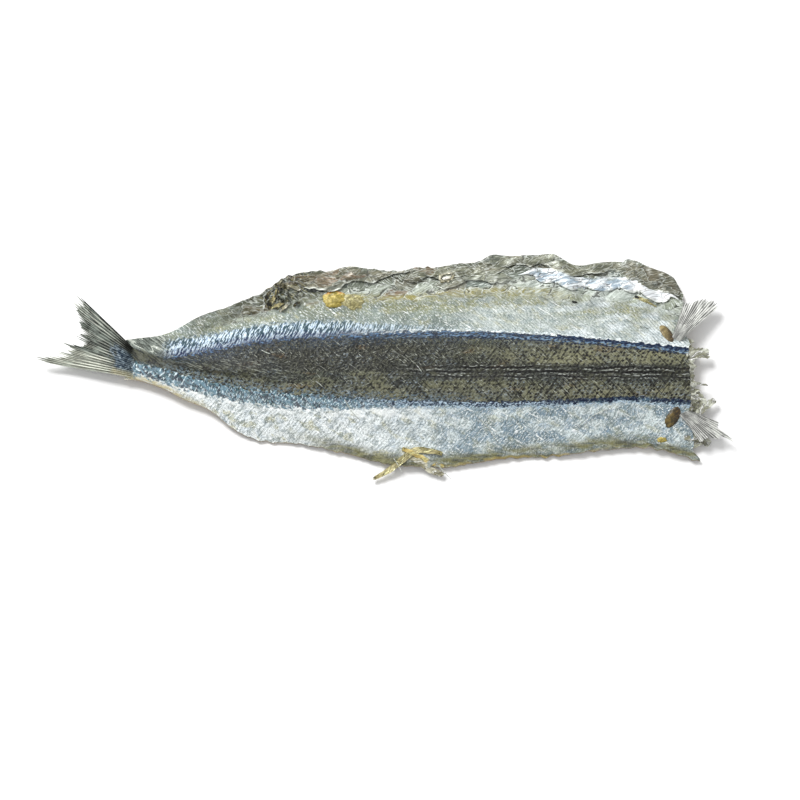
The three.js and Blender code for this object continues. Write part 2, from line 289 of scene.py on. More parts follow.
# %% [markdown]
# ## A closed sheet from a grid
#
# Skin, fins and films are all thin closed sheets. Each starts as a grid, is extruded once in
# edit mode, so that it has two faces and a rim, and then every vertex is set to its place by the
# functions above. A grid that is shaped by functions was chosen over sculpting, because it can
# be read and repeated. Numbers that the finishes need, such as the distance from the back line,
# are noted on the vertices.

# %% Making closed sheets


def nothing_selected():
    if bpy.context.object and bpy.context.object.mode != "OBJECT":
        bpy.ops.object.mode_set(mode="OBJECT")
    bpy.ops.object.select_all(action="DESELECT")


def places_of(piece):
    places = np.empty(len(piece.data.vertices) * 3)
    piece.data.vertices.foreach_get("co", places)
    return places.reshape(-1, 3)


def put(piece, x, y, z):
    """Sets all vertices, from millimetres on the fish to metres in the frame."""
    places = np.stack([x - ORIGIN_X, y - ORIGIN_Y, z], axis=1) * MM
    piece.data.vertices.foreach_set("co", places.ravel())
    piece.data.update()


def note(piece, name, values):
    layer = piece.data.attributes.new(name, "FLOAT", "POINT")
    layer.data.foreach_set("value", np.asarray(values, np.float32))


def turn_outwards(piece, angle=50):
    """Faces outwards, and smooth shading except over edges sharper than the angle."""
    nothing_selected()
    bpy.context.view_layer.objects.active = piece
    piece.select_set(True)
    bpy.ops.object.mode_set(mode="EDIT")
    bpy.ops.mesh.select_all(action="SELECT")
    bpy.ops.mesh.normals_make_consistent(inside=False)
    bpy.ops.object.mode_set(mode="OBJECT")
    bpy.ops.object.shade_smooth_by_angle(angle=math.radians(angle))


def sheet_grid(name, cells_along, cells_across):
    """A closed unit sheet, and for each vertex its share along, its share across and its face."""
    nothing_selected()
    bpy.ops.mesh.primitive_grid_add(
        x_subdivisions=cells_along, y_subdivisions=cells_across, size=1, location=(0, 0, 0)
    )
    sheet = bpy.context.object
    sheet.name = sheet.data.name = name
    bpy.ops.object.mode_set(mode="EDIT")
    bpy.ops.mesh.select_all(action="SELECT")
    bpy.ops.mesh.extrude_region_move(TRANSFORM_OT_translate={"value": (0, 0, 1)})
    bpy.ops.object.mode_set(mode="OBJECT")
    places = places_of(sheet)
    return sheet, places[:, 0] + 0.5, places[:, 1] + 0.5, places[:, 2] > 0.5


def dress(piece, slot, *finishes):
    """Gives the piece its finishes, and says what it rides on. The slot is not used."""
    for finish in finishes:
        piece.data.materials.append(finish)
    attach(piece, "root")
    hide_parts("dried_needlefish")
    print(piece.name, len(piece.data.polygons), "faces")


# %% [markdown]
# ## Node sums by name
#
# The finishes need many small sums on masks and distances. A signal is a node socket that can be
# added, multiplied and subtracted like a number, so that each layer of the skin is one line.

# %% Signals


class Signal:
    def __init__(self, tree, socket):
        self.tree, self.socket = tree, socket

    def __add__(self, other):
        return calc("ADD", self, other)

    def __sub__(self, other):
        return calc("SUBTRACT", self, other)

    def __rsub__(self, other):
        return calc("SUBTRACT", other, self)

    def __mul__(self, other):
        return calc("MULTIPLY", self, other)

    def __truediv__(self, other):
        return calc("DIVIDE", self, other)

    __radd__, __rmul__ = __add__, __mul__


def feed(tree, socket, value):
    if isinstance(value, Signal):
        tree.links.new(value.socket, socket)
    else:
        socket.default_value = value


def calc(kind, *values):
    tree = next(value.tree for value in values if isinstance(value, Signal))
    made = tree.nodes.new("ShaderNodeMath")
    made.operation = kind
    for socket, value in zip(made.inputs, values):
        feed(tree, socket, value)
    return Signal(tree, made.outputs[0])


def ramp(value, start, end):
    """0 before start and 1 after end, softly. Start may be above end."""
    made = value.tree.nodes.new("ShaderNodeMapRange")
    made.interpolation_type = "SMOOTHSTEP"
    for name, number in (("Value", value), ("From Min", start), ("From Max", end)):
        feed(value.tree, made.inputs[name], number)
    return Signal(value.tree, made.outputs[0])


def between(value, start, end, soft):
    return ramp(value, start - soft, start + soft) * ramp(value, end + soft, end - soft)


def blend(amount, under, over):
    tree = amount.tree
    made = tree.nodes.new("ShaderNodeMix")
    made.data_type = "RGBA"
    for index, value in ((0, amount), (6, under), (7, over)):
        feed(tree, made.inputs[index], value)
    return Signal(tree, made.outputs[2])


def srgb(red, green, blue):
    """A colour as seen on a screen, 0 to 255, as the renderer's linear colour. It is made a
    little deeper, because the white surround lightens every surface."""
    shares = [value / 255 for value in (red, green, blue)]
    linear = [s / 12.92 if s <= 0.04045 else ((s + 0.055) / 1.055) ** 2.4 for s in shares]
    return (*[value**1.22 for value in linear], 1)


def noted(tree, name):
    made = tree.nodes.new("ShaderNodeAttribute")
    made.attribute_name = name
    return Signal(tree, made.outputs["Fac"])


def plane(x, y, z=0.0):
    tree = x.tree
    made = tree.nodes.new("ShaderNodeCombineXYZ")
    for socket, value in zip(made.inputs, (x, y, z)):
        feed(tree, socket, value)
    return Signal(tree, made.outputs[0])


# %% [markdown]
# ## Shared patterns
#
# Six patterns come back in the finishes, so each is a node group with named sockets: patches of
# smooth noise, thin folds, the facets of a crumpled film and the creases between them, slanting
# lines such as those of the muscle segments, and the rows of small pits that the scales leave. All
# are measured in millimetres. Groups were chosen over copied nodes, because each pattern can then
# be used at many sizes and angles.

# %% Pattern groups


def new_group(name, inputs):
    group = bpy.data.node_groups.new(name, "ShaderNodeTree")
    for label, value in inputs.items():
        socket = group.interface.new_socket(label, in_out="INPUT", socket_type="NodeSocketFloat")
        socket.default_value = value
    group.interface.new_socket("Mask", in_out="OUTPUT", socket_type="NodeSocketFloat")
    start = group.nodes.new("NodeGroupInput")
    signals = {label: Signal(group, start.outputs[label]) for label in inputs}
    return group, signals


def close_group(group, signal):
    end = group.nodes.new("NodeGroupOutput")
    group.links.new(signal.socket, end.inputs[0])
    return group


def noise_at(place, detail):
    made = place.tree.nodes.new("ShaderNodeTexNoise")
    feed(place.tree, made.inputs["Vector"], place)
    made.inputs["Scale"].default_value = 1
    made.inputs["Detail"].default_value = detail
    return Signal(place.tree, made.outputs["Fac"])


TURNED = {"Along": 0, "Across": 0, "Size": 1, "Stretch": 1, "Angle": 0, "Seed": 0}
SEED_STEP = 7.3


def turned_place(get):
    """Where to read the noise, so that it is stretched along the angle, in degrees."""
    turn = get["Angle"] * (math.pi / 180)
    cosine, sine = calc("COSINE", turn), calc("SINE", turn)
    lengthwise = get["Along"] * cosine + get["Across"] * sine
    crosswise = get["Across"] * cosine - get["Along"] * sine
    length = get["Size"] * get["Stretch"]
    return plane(lengthwise / length, crosswise / get["Size"], get["Seed"] * SEED_STEP)


def patches_group():
    group, get = new_group("Patches", TURNED | {"Low": 0.4, "High": 0.6})
    return close_group(group, ramp(noise_at(turned_place(get), 3), get["Low"], get["High"]))


def folds_group():
    """Thin curved lines, where the noise crosses a level, like the folds of a film."""
    group, get = new_group("Thin folds", TURNED | {"Level": 0.5, "Width": 0.04})
    gap = calc("ABSOLUTE", noise_at(turned_place(get), 1.2) - get["Level"])
    return close_group(group, ramp(gap, get["Width"], get["Width"] * 0.3))


def cells_at(get, feature):
    cells = get["Along"].tree.nodes.new("ShaderNodeTexVoronoi")
    cells.feature = feature
    cells.inputs["Scale"].default_value = 1
    feed(get["Along"].tree, cells.inputs["Vector"], turned_place(get))
    return cells


def facets_group():
    """A number from 0 to 1 for each facet of a crumpled film."""
    group, get = new_group("Facets", TURNED)
    parts = group.nodes.new("ShaderNodeSeparateColor")
    group.links.new(cells_at(get, "F1").outputs["Color"], parts.inputs[0])
    return close_group(group, Signal(group, parts.outputs[0]))


def creases_group():
    """The thin lines between the same facets."""
    group, get = new_group("Creases", TURNED | {"Width": 0.05})
    gap = Signal(group, cells_at(get, "DISTANCE_TO_EDGE").outputs["Distance"])
    return close_group(group, ramp(gap, get["Width"], get["Width"] * 0.3))


def lines_group():
    inputs = {"Along": 0, "Across": 0, "Slope": 1, "Pitch": 2, "Wobble": 0.5, "Width": 0.4}
    group, get = new_group("Slanting lines", inputs)
    cloud = noise_at(plane(get["Along"] / 5, get["Across"] / 5), 2)
    shift = (cloud - 0.5) * get["Wobble"] * 4
    phase = (get["Along"] + get["Slope"] * get["Across"] + shift) / get["Pitch"]
    saw = calc("ABSOLUTE", calc("FRACT", phase) - 0.5) * 2
    return close_group(group, ramp(saw, 1 - get["Width"], 1))


def pits_group():
    group, get = new_group("Scale pits", {"Along": 0, "Across": 0, "Pitch": 2.15, "Size": 0.35})
    x = (get["Along"] - get["Across"] * 0.35) / get["Pitch"]
    y = get["Across"] / (get["Pitch"] * 0.93)
    cells = group.nodes.new("ShaderNodeTexVoronoi")
    cells.voronoi_dimensions = "2D"
    cells.inputs["Scale"].default_value = 1
    cells.inputs["Randomness"].default_value = 0.62
    feed(group, cells.inputs["Vector"], plane(x, y))
    distance = Signal(group, cells.outputs["Distance"])
    return close_group(group, ramp(distance, get["Size"], get["Size"] * 0.45))


GROUPS = {
    "patches": patches_group(),
    "folds": folds_group(),
    "facets": facets_group(),
    "creases": creases_group(),
    "lines": lines_group(),
    "pits": pits_group(),
}
print(len(GROUPS), "pattern groups")


def pattern(kind, x, y, **values):
    made = x.tree.nodes.new("ShaderNodeGroup")
    made.node_tree = GROUPS[kind]
    feed(x.tree, made.inputs["Along"], x)
    feed(x.tree, made.inputs["Across"], y)
    for label, value in values.items():
        feed(x.tree, made.inputs[label.capitalize()], value)
    return Signal(x.tree, made.outputs[0])


def patches(x, y, size, **values):
    return pattern("patches", x, y, size=size, **values)


def new_finish(name):
    finish = bpy.data.materials.new(name)
    finish.use_nodes = True
    shader = finish.node_tree.nodes["Principled BSDF"]
    return finish, finish.node_tree, shader


def raise_by(tree, shader, height, depth):
    """Feeds a height, in millimetres, to the shader's normal."""
    bumps = tree.nodes.new("ShaderNodeBump")
    bumps.inputs["Strength"].default_value = 1
    bumps.inputs["Distance"].default_value = depth * MM
    feed(tree, bumps.inputs["Height"], height)
    tree.links.new(bumps.outputs[0], shader.inputs["Normal"])


def finish_with(tree, shader, colour, roughness, metallic):
    feed(tree, shader.inputs["Base Color"], colour)
    feed(tree, shader.inputs["Roughness"], roughness)
    feed(tree, shader.inputs["Metallic"], metallic)


# %% [markdown]
# ## The skin
#
# From the back line outwards the real skin is olive grey with rows of scale pits, then there is a
# blue line, a bright band of slanting silver strokes near the tail, a silver flank with the lines
# of the muscle segments, and the belly wall. The layers are laid over each other in that order,
# each with a mask in millimetres from the edge of the back. Nothing on a dried fish is even, so
# every layer is broken up by patches of its own. One material with all the layers is too much for
# the renderer, so the near side, the far side and the belly wall have one each. They use the same
# functions, and meet where those agree.

# %% The back of the skin


def back_layers(A, C, far):
    blotch = patches(A, C, 7, stretch=2.2, seed=1)
    colour = blend(blotch, srgb(64, 70, 61), srgb(108, 109, 88))
    colour = blend(far * ramp(A, 190, 110) * 0.9, colour, srgb(25, 29, 23))
    right = ramp(A, 150, 215) * ramp(calc("ABSOLUTE", C), 3, 6)
    colour = blend(right * (0.4 + 0.25 * far), colour, srgb(142, 141, 114))
    colour = blend((1 - far) * ramp(C, -3.5, -8) * 0.4, colour, srgb(138, 137, 116))
    cool = patches(A, C, 5, stretch=1.8, seed=2, low=0.48, high=0.6)
    colour = blend(cool * (0.4 - 0.2 * far), colour, srgb(78, 84, 86))
    smear = patches(A, C, 5, stretch=3, seed=3, low=0.6, high=0.7)
    colour = blend(smear * 0.45, colour, srgb(120, 96, 58))
    dark = patches(A, C, 0.6, stretch=1.7, angle=42, seed=68, low=0.5, high=0.62)
    colour = blend(dark * 0.5, colour, srgb(30, 33, 28))
    grit = patches(A, C, 0.42, stretch=1.4, angle=-35, seed=4, low=0.52, high=0.62)
    colour = blend(grit * (0.3 + 0.15 * right), colour, srgb(168, 169, 148))
    sheen = patches(A, C, 0.6, stretch=2, angle=20, seed=69, low=0.57, high=0.63)
    colour = blend(sheen * cool * (0.5 - 0.2 * far), colour, srgb(158, 172, 186))
    pits = pattern("pits", A, C, pitch=2.1, size=0.4)
    worn = patches(A, C, 4, stretch=1.5, seed=33, low=0.4, high=0.58)
    colour = blend(pits * (0.5 + 0.1 * right + 0.4 * worn), colour, srgb(18, 20, 16))
    for angle, seed in ((52, 5), (-48, 6)):
        crack = patches(A, C, 1, stretch=12, angle=angle, seed=seed, low=0.57, high=0.63)
        colour = blend(crack * 0.8, colour, srgb(24, 26, 20))
    for angle, seed in ((-50, 34), (-38, 35), (20, 36)):
        scratch = patches(A, C, 0.4, stretch=10, angle=angle, seed=seed, low=0.66, high=0.72)
        colour = blend(scratch * 0.7, colour, srgb(196, 200, 190))
    colour = back_lines(colour, A, C)
    fin = between(A, 14, 76, 8) * ramp(calc("ABSOLUTE", C - 0.5), 5.5, 2.5)
    colour = blend(fin * 0.6, colour, srgb(36, 41, 38))
    ray = patches(A, C, 0.45, stretch=9, angle=-12, seed=9, low=0.58, high=0.64)
    return blend(fin * ray * 0.6, colour, srgb(160, 164, 154)), pits


def back_lines(colour, A, C):
    """Dark lines with pale rims where the back was folded, towards the cut."""
    drift = patches(A, C * 0, 13, stretch=2, seed=7, low=0.2, high=0.8) - 0.5
    band = ramp(calc("ABSOLUTE", C - 0.6 + drift), 4.4, 2.8) * ramp(A, 100, 150)
    colour = blend(band * 0.6, colour, srgb(38, 41, 38))
    for place, thick, seed in ((2.9, 0.3, 8), (0.8, 0.55, 37), (-1.5, 0.35, 38)):
        wobble = patches(A, C * 0, 6, stretch=1, seed=seed, low=0.2, high=0.8) - 0.5
        gap = calc("ABSOLUTE", C - place + drift + wobble * 1.1)
        dash = patches(A, C, 2.4, stretch=4, seed=seed + 0.3, low=0.4, high=0.56)
        speckle = patches(A, C, 0.55, stretch=3, seed=seed + 0.5, low=0.52, high=0.6)
        rims = ramp(gap, 1.3, 0.8) * ramp(gap, 0.4, 0.75) * dash
        colour = blend(rims * band * speckle * 0.85, colour, srgb(186, 190, 184))
        line = ramp(gap, thick + 0.35 * dash, thick * 0.3) * ramp(A, 112 - seed * 0.4, 150)
        colour = blend(line * (0.3 + 0.7 * dash), colour, srgb(14, 17, 15))
    return colour


# %% [markdown]
# ## The blue line and the silver band
#
# On both sides of the back a blue line parts it from the silver flank. Towards the tail it
# widens: on the far side to slanting silver strokes over blue, on the near side to a mottled
# blue. It could be painted along a curve, but here each row of dashes is a noise, stretched along
# its own angle and cut out at a distance from the edge of the back, so that it follows every bend
# by itself.

# %% The blue line and the silver band


def far_band(colour, A, C, E):
    """Silver strokes over blue near the tail, then rows of white and navy dashes."""
    narrow = ramp(A, 76, 165)
    width = 8.2 - narrow * 6.6
    rough = patches(A, C, 1.3, stretch=1.4, seed=11, low=0.3, high=0.7) - 0.5
    place = E + rough * (2.2 - narrow * 1.0)
    stroke = patches(A, C, 0.55, stretch=5, angle=66, seed=12, low=0.475, high=0.56)
    fleck = patches(A, C, 0.7, stretch=2, angle=60, seed=14, low=0.48, high=0.58)
    band = ramp(place, -0.6, 0.3) * ramp(place, width + 1.4, width - 1.2) * ramp(A, 12, 20)
    low_part = ramp(place, width * 0.62, width * 0.1)
    cool = blend(low_part, srgb(70, 96, 106), srgb(24, 48, 88))
    silver = blend(fleck * 0.6, srgb(218, 231, 239), srgb(126, 154, 188))
    mixed = blend(stroke * (1 - low_part * 0.55), cool, silver)
    colour = blend(band * (1 - narrow * 0.65), colour, mixed)
    dashes = patches(A, C, 0.55, stretch=4, angle=10, seed=13, low=0.45, high=0.54)
    bits = patches(A, C, 0.9, stretch=2.2, angle=14, seed=70, low=0.42, high=0.54)
    patchy = patches(A, C, 2, stretch=5, seed=15, low=0.3, high=0.48)
    mist = patches(A, C, 0.9, seed=16, low=0.44, high=0.58)
    haze = between(E, -5.5, -0.5, 1.6) * mist * ramp(A, 225, 190)
    colour = blend(haze * 0.4, colour, srgb(56, 76, 96))
    below = between(E, -3.2, -1.0, 0.4) * narrow * bits
    colour = blend(below * 0.95, colour, srgb(14, 42, 68))
    whole = ramp(A, 150, 215)
    navy = between(place, -1.3, 0.5, 0.3) * ramp(A, 14, 24) * (0.45 + 0.3 * patchy + 0.5 * whole)
    colour = blend(navy * (0.55 + 0.45 * bits + whole * 0.3), colour, srgb(4, 36, 68))
    pale = between(place, -2.3, -1.0, 0.25) * dashes * narrow * patchy
    colour = blend(pale * 0.55, colour, srgb(146, 176, 204))
    inside = between(place, -0.6, 0.3, 0.25) * dashes * bits * (1 - whole * 0.7)
    colour = blend(inside * 0.55, colour, srgb(124, 160, 194))
    white = between(place, 0.6, 1.25, 0.25) * narrow * (0.15 + 0.85 * dashes)
    return blend(white, colour, srgb(240, 246, 246))


def near_band(colour, A, C, E):
    """Mottled blue near the tail, then a narrower speckled line with a row of pale dots."""
    narrow = ramp(A, 70, 150)
    rough = patches(A, C, 1.2, stretch=1.6, seed=17, low=0.3, high=0.7) - 0.5
    place = E + rough * (2.6 - narrow * 1.4)
    width = 4.8 - narrow * 3.8
    band = ramp(place, -1.8, -0.4) * ramp(place, width + 1.2, width - 0.5)
    coarse = ramp(A, 66, 22) * 0.3
    mottle = patches(A, C, coarse + 1.1, stretch=2.2, angle=-38, seed=18, low=0.42, high=0.58)
    tint = patches(A, C, 1, stretch=1.5, angle=40, seed=19, low=0.48, high=0.58)
    pale = blend(narrow, srgb(124, 154, 170), srgb(92, 122, 146))
    mixed = blend(mottle, srgb(18, 44, 66), pale)
    mixed = blend(tint * 0.6, mixed, srgb(78, 118, 124))
    glint = patches(A, C, coarse + 0.6, stretch=2.2, angle=55, seed=20, low=0.55, high=0.62)
    mixed = blend(glint * 0.85, mixed, srgb(222, 236, 240))
    colour = blend(band * 0.9, colour, mixed)
    specks = patches(A, C, 0.7, stretch=1.8, seed=39, low=0.5, high=0.58)
    speckle = between(E, -4.5, -0.6, 1.2) * specks * ramp(A, 190, 130)
    colour = blend(speckle * 0.5, colour, srgb(128, 146, 158))
    whole = patches(A, C, 3, stretch=4, seed=40, low=0.34, high=0.5)
    bits = patches(A, C, 0.9, stretch=2, angle=-10, seed=74, low=0.42, high=0.52)
    navy = between(place, -1.4, 0.6, 0.3) * narrow * (0.4 + 0.6 * whole)
    colour = blend(navy * (0.65 + 0.35 * bits), colour, srgb(6, 34, 66))
    dots = patches(A, C, 0.55, stretch=1.6, seed=46, low=0.46, high=0.54)
    rows = between(place, 0.6, 1.8, 0.25) + between(place, -0.9, 0.1, 0.2) * (1 - ramp(A, 185, 205))
    return blend(rows * dots * narrow * 0.7, colour, srgb(196, 214, 228))


# %% [markdown]
# ## The silver flanks
#
# Under thin silver the muscle segments show as fine slanting lines. Drying leaves gold and cool
# patches, grains, and bright scratches where scales came off. The silver could be a metal, but
# dried skin shines softly, so it is a pale colour with many small dark marks, painted white glints
# and, on the far side, large painted highlight patches, and little metal. The near margin is grimy
# and olive, with bits of golden flesh.

# %% The silver flanks


def near_rim(colour, A, C, E, R, tail_end):
    """A white flare beside the blue band, and a grimy olive rim with bits of golden flesh."""
    flare = patches(A, C, 2.6, stretch=3, angle=-8, seed=77, low=0.42, high=0.56)
    colour = blend(flare * between(E, 1.5, 7, 1.5) * tail_end * 0.8, colour, srgb(250, 253, 252))
    broken = patches(A, C, 4, stretch=4, seed=27, low=0.36, high=0.56)
    rim = ramp(R, 8, 2) * ramp(A, 55, 110) * (0.5 + 0.5 * broken)
    grimy = patches(A, C, 1.1, stretch=5, angle=4, seed=29, low=0.38, high=0.6)
    colour = blend(rim * 0.9, colour, blend(grimy, srgb(82, 80, 46), srgb(130, 127, 82)))
    bits = patches(A, C, 3.5, stretch=2, seed=49, low=0.46, high=0.56)
    edge = ramp(R, 1.4, 0.3) * between(A, 143, 222, 10) * bits
    colour = blend(edge * 0.45, colour, srgb(184, 164, 100))
    tail_rim = ramp(R, 2.8, 0.9) * ramp(A, 46, 22) * (0.3 + 0.7 * grimy)
    return blend(tail_rim * 0.85, colour, srgb(208, 198, 158))


def flank_layers(A, C, E, R, S, far):
    """The silver side. Far is true on the side of the belly wall."""
    girth = calc("ABSOLUTE", C)
    cloud = patches(A, C, 6, stretch=1.6, seed=21)
    tail_end = ramp(A, 165, 95)
    if far:
        colour = blend(cloud, srgb(124, 134, 126), srgb(156, 166, 158))
        colour = blend(ramp(A, 138, 175) * 0.85, colour, srgb(194, 202, 197))
        # Painted highlight: large white patches of sheen on the far flank towards the cut.
        bright = patches(A, C, 8, stretch=1.6, seed=22, low=0.4, high=0.58)
        colour = blend(bright * ramp(A, 140, 215) * 0.85, colour, srgb(234, 241, 243))
        haze = patches(A, C, 5, stretch=2.5, seed=75, low=0.4, high=0.56)
        olive = haze * ramp(S, 0.52, 0.66) * (0.35 + 0.4 * ramp(A, 95, 130))
        colour = blend(olive, colour, srgb(158, 158, 112))
    else:
        colour = blend(cloud, srgb(152, 169, 178), srgb(214, 224, 225))
        colour = blend(tail_end * 0.85, colour, srgb(244, 248, 248))
    gold = patches(A, C, 4, stretch=1.8, angle=-30, seed=23, low=0.52, high=0.64)
    colour = blend(gold * (0.4 if far else 0.4 + 0.25 * tail_end), colour, srgb(186, 182, 142))
    cool = patches(A, C, 3, stretch=1.6, seed=47, low=0.5, high=0.6)
    tint = srgb(152, 166, 168) if far else srgb(146, 168, 188)
    colour = blend(cool * (0.25 + 0.25 * ramp(A, 110, 190)), colour, tint)
    dapple = patches(A, girth, 1.5, stretch=2.4, angle=-42, seed=76, low=0.46, high=0.62)
    colour = blend(dapple * (0.22 if far else 0.46 + 0.12 * tail_end), colour, srgb(122, 135, 134))
    shown = patches(A, C, 4, seed=24, low=0.38, high=0.56)
    lines = pattern("lines", A, girth, slope=0.85, pitch=1.7, wobble=0.25, width=0.3)
    least = 0.25 + 0.25 * ramp(A, 190, 225) if far else 0.2
    colour = blend(lines * (shown * 0.5 + least), colour, srgb(96, 108, 104))
    crossing = pattern("lines", A, girth, slope=-0.8, pitch=1.6, wobble=0.6, width=0.3)
    colour = blend(crossing * (1 - shown) * (0.3 if far else 0.4), colour, srgb(104, 116, 118))
    grains = patches(A, girth, 0.45, stretch=1.5, angle=-44, seed=52, low=0.51, high=0.61)
    colour = blend(grains * (0.36 if far else 0.5), colour, srgb(86, 101, 103))
    # Painted highlight: small white glints where the silver would catch the lamp. The same mask
    # lowers the roughness and adds a little metal in the skin finish.
    light = patches(A, girth, 0.45, stretch=2.6, angle=-42, seed=26, low=0.54, high=0.62)
    colour = blend(light * (0.6 if far else 0.85), colour, srgb(246, 251, 250))
    streaks = patches(A, C, 0.6, stretch=10, angle=-34, seed=78, low=0.65, high=0.71)
    colour = blend(streaks * 0.85, colour, srgb(250, 252, 250))
    if not far:
        colour = near_rim(colour, A, C, E, R, tail_end)
    return colour, grains, light


# %% [markdown]
# ## The belly wall
#
# The wall dried like crumpled foil: small flat facets, each with its fibres in a direction of its
# own, creases between them drawn as a painted highlight beside a line of painted shade, and pink,
# teal and silver tones. Noise alone looks like cloud, so the facets are the cells of a Voronoi
# texture, and the number of each cell turns the fibres and picks the tone.

# %% The belly wall


def wall_layers(A, C, S):
    """The thin wall: crumpled film in facets, each with fine fibres in a direction of its own.
    The loose films read the same layers."""
    W = C + (patches(A, C, 6, stretch=1.6, seed=84, low=0.1, high=0.9) - 0.5) * 7
    where = {"size": 3.6, "stretch": 2.6, "angle": 7, "seed": 57}
    facet = pattern("facets", A, W, **where)
    tone = patches(A, W, 2.6, stretch=5, angle=8, seed=50, low=0.34, high=0.64)
    colour = blend(facet * 0.5 + tone * 0.5, srgb(84, 88, 68), srgb(178, 186, 174))
    inner = between(S, 0.74, 0.85, 0.04) * ramp(A, 90, 130)
    colour = blend(inner * 0.35, colour, srgb(206, 211, 198))
    outer = ramp(S, 0.84, 0.93) * (0.5 + 0.5 * tone)
    colour = blend(outer * 0.72, colour, srgb(88, 87, 66))
    pink = between(facet, 0.26, 0.48, 0.01) * (0.2 + 0.6 * ramp(A, 165, 125))
    colour = blend(pink * (0.35 + 0.65 * tone), colour, srgb(150, 124, 102))
    teal = between(facet, 0.6, 0.7, 0.01)
    colour = blend(teal * 0.55, colour, srgb(84, 102, 106))
    silver = ramp(A, 160, 195) * ramp(S, 0.9, 0.82)
    colour = blend(silver * 0.6, colour, blend(facet, srgb(172, 180, 164), srgb(220, 228, 224)))
    tail_part = ramp(A, 104, 66) * patches(A, C, 2.4, stretch=2, seed=54, low=0.32, high=0.54)
    colour = blend(tail_part * 0.85, colour, srgb(86, 84, 62))
    fold = between(S, 0.69, 0.77, 0.03) * ramp(A, 80, 105) * ramp(A, 222, 180)
    streak = patches(A, W, 1.1, stretch=6, angle=2, seed=28, low=0.38, high=0.56)
    colour = blend(fold * (0.36 + 0.6 * streak), colour, srgb(158, 151, 94))
    torn = between(A, 62, 84, 4) * ramp(S, 0.7, 0.84)
    scraps = patches(A, C, 1.2, stretch=1.8, angle=40, seed=55, low=0.46, high=0.52)
    colour = blend(torn * scraps * 0.85, colour, srgb(50, 52, 44))
    shine = patches(A, C, 0.9, stretch=1.8, angle=-30, seed=56, low=0.57, high=0.62)
    colour = blend(torn * shine * 0.8, colour, srgb(180, 174, 130))
    lean = (facet - 0.5) * 110
    dark = patches(A, C, 0.5, stretch=8, angle=lean, seed=79, low=0.5, high=0.62)
    colour = blend(dark * 0.42, colour, srgb(74, 78, 62))
    fibre = patches(A, C, 0.45, stretch=8, angle=lean, seed=63, low=0.53, high=0.62)
    bright = 1 - ramp(A, 125, 80) * 0.4
    colour = blend(fibre * bright * 0.55, colour, srgb(234, 240, 236))
    broken = patches(A, C, 3, seed=58, low=0.4, high=0.55)
    # Painted highlight along one side of each crease and painted shade along the other. The
    # highlight is dimmer towards the tail.
    painted_crease_highlight = pattern("creases", A, W + 0.35, width=0.05, **where)
    colour = blend(painted_crease_highlight * bright * 0.6, colour, srgb(234, 239, 233))
    painted_crease_shade = pattern("creases", A, W, width=0.055, **where)
    return blend(painted_crease_shade * broken * 0.8, colour, srgb(48, 50, 38))


# %% [markdown]
# ## The whole skin
#
# The layers are put together for each side. By the tail fin the far flank is hidden by dark wet
# skin and a grey film, which are laid over last. The pits are pressed in and the silver grains
# raised a little in the normal, because they are finer than the mesh.

# %% The whole skin


def tail_root_layers(colour, A, C):
    """By the tail fin the far flank is hidden by dark skin and a grey film."""
    dark = patches(A, C, 0.9, stretch=4, angle=-28, seed=66, low=0.42, high=0.58)
    wet = blend(dark, srgb(34, 38, 32), srgb(86, 88, 72))
    between_fins = ramp(A, 30, 12) * between(C, -4.8, 2, 1.2)
    colour = blend(between_fins * 0.92, colour, wet)
    film = ramp(A, 24, 14) * ramp(C, 1.2, 2.8)
    line = patches(A, C, 0.8, stretch=5, angle=-20, seed=67, low=0.42, high=0.58)
    colour = blend(film * 0.95, colour, blend(line, srgb(72, 79, 72), srgb(130, 137, 130)))
    fold = pattern("folds", A, C, size=2.6, stretch=4, angle=-24, seed=80, level=0.5, width=0.03)
    return blend(film * fold * 0.8, colour, srgb(206, 211, 202))


WALL_FROM = 0.68
WALL_GAP = 10.5


def skin_finish(name, far, wall=False):
    """One side of the skin, from the back line to the flank, or from the flank to the wall."""
    finish, tree, shader = new_finish(name)
    A, C, E, R, S = [noted(tree, label) for label in ("along", "across", "edge", "rim", "side")]
    colour, grains, light = flank_layers(A, C, E, R, S, far)
    pores = patches(A, C, 0.8, stretch=1.3, seed=32, low=0.2, high=0.8)
    if wall:
        torn_edge = patches(A, C, 3.5, stretch=2.5, seed=30, low=0.3, high=0.7) * 0.06
        off_tail = ramp(A, 20, 60) * ramp(E, WALL_GAP, WALL_GAP + 1.5)
        covered = ramp(S + torn_edge, WALL_FROM, 0.8) * off_tail
        colour = blend(covered, colour, wall_layers(A, C, S))
        height = pores * 0.6 + (light - grains) * 0.4
        finish_with(tree, shader, colour, 0.38 - light * 0.12, light * 0.2)
    else:
        back, pits = back_layers(A, C, ramp(C, 0, 1.5))
        ragged = patches(A, C, 1.2, seed=31, low=0.2, high=0.8) - 0.5
        outside = ramp(E + ragged, -0.4, 0.6)
        colour = blend(outside, back, colour)
        colour = far_band(colour, A, C, E) if far else near_band(colour, A, C, E)
        colour = tail_root_layers(colour, A, C)
        height = pores * 0.6 - pits * 0.6 * (1 - outside) + (light - grains) * 0.4 * outside
        roughness = 0.5 - outside * (0.12 + 0.12 * light)
        finish_with(tree, shader, colour, roughness, light * outside * 0.2)
    shader.inputs["Specular IOR Level"].default_value = 0.25
    raise_by(tree, shader, height, 0.25)
    print(name, len(tree.nodes), "nodes")
    return finish


near_skin = skin_finish("near_skin", far=False)
far_skin = skin_finish("far_skin", far=True)
wall_skin = skin_finish("wall_skin", far=True, wall=True)

# %% [markdown]
# ## The flesh side
#
# Underneath, the real fish is translucent beige flesh with a herringbone of muscle, the pale line
# of the backbone, and a dark lining where the belly was. It could be modelled in relief, but it
# dries nearly flat and is seldom seen, so the same slanting lines draw it.

# %% Flesh


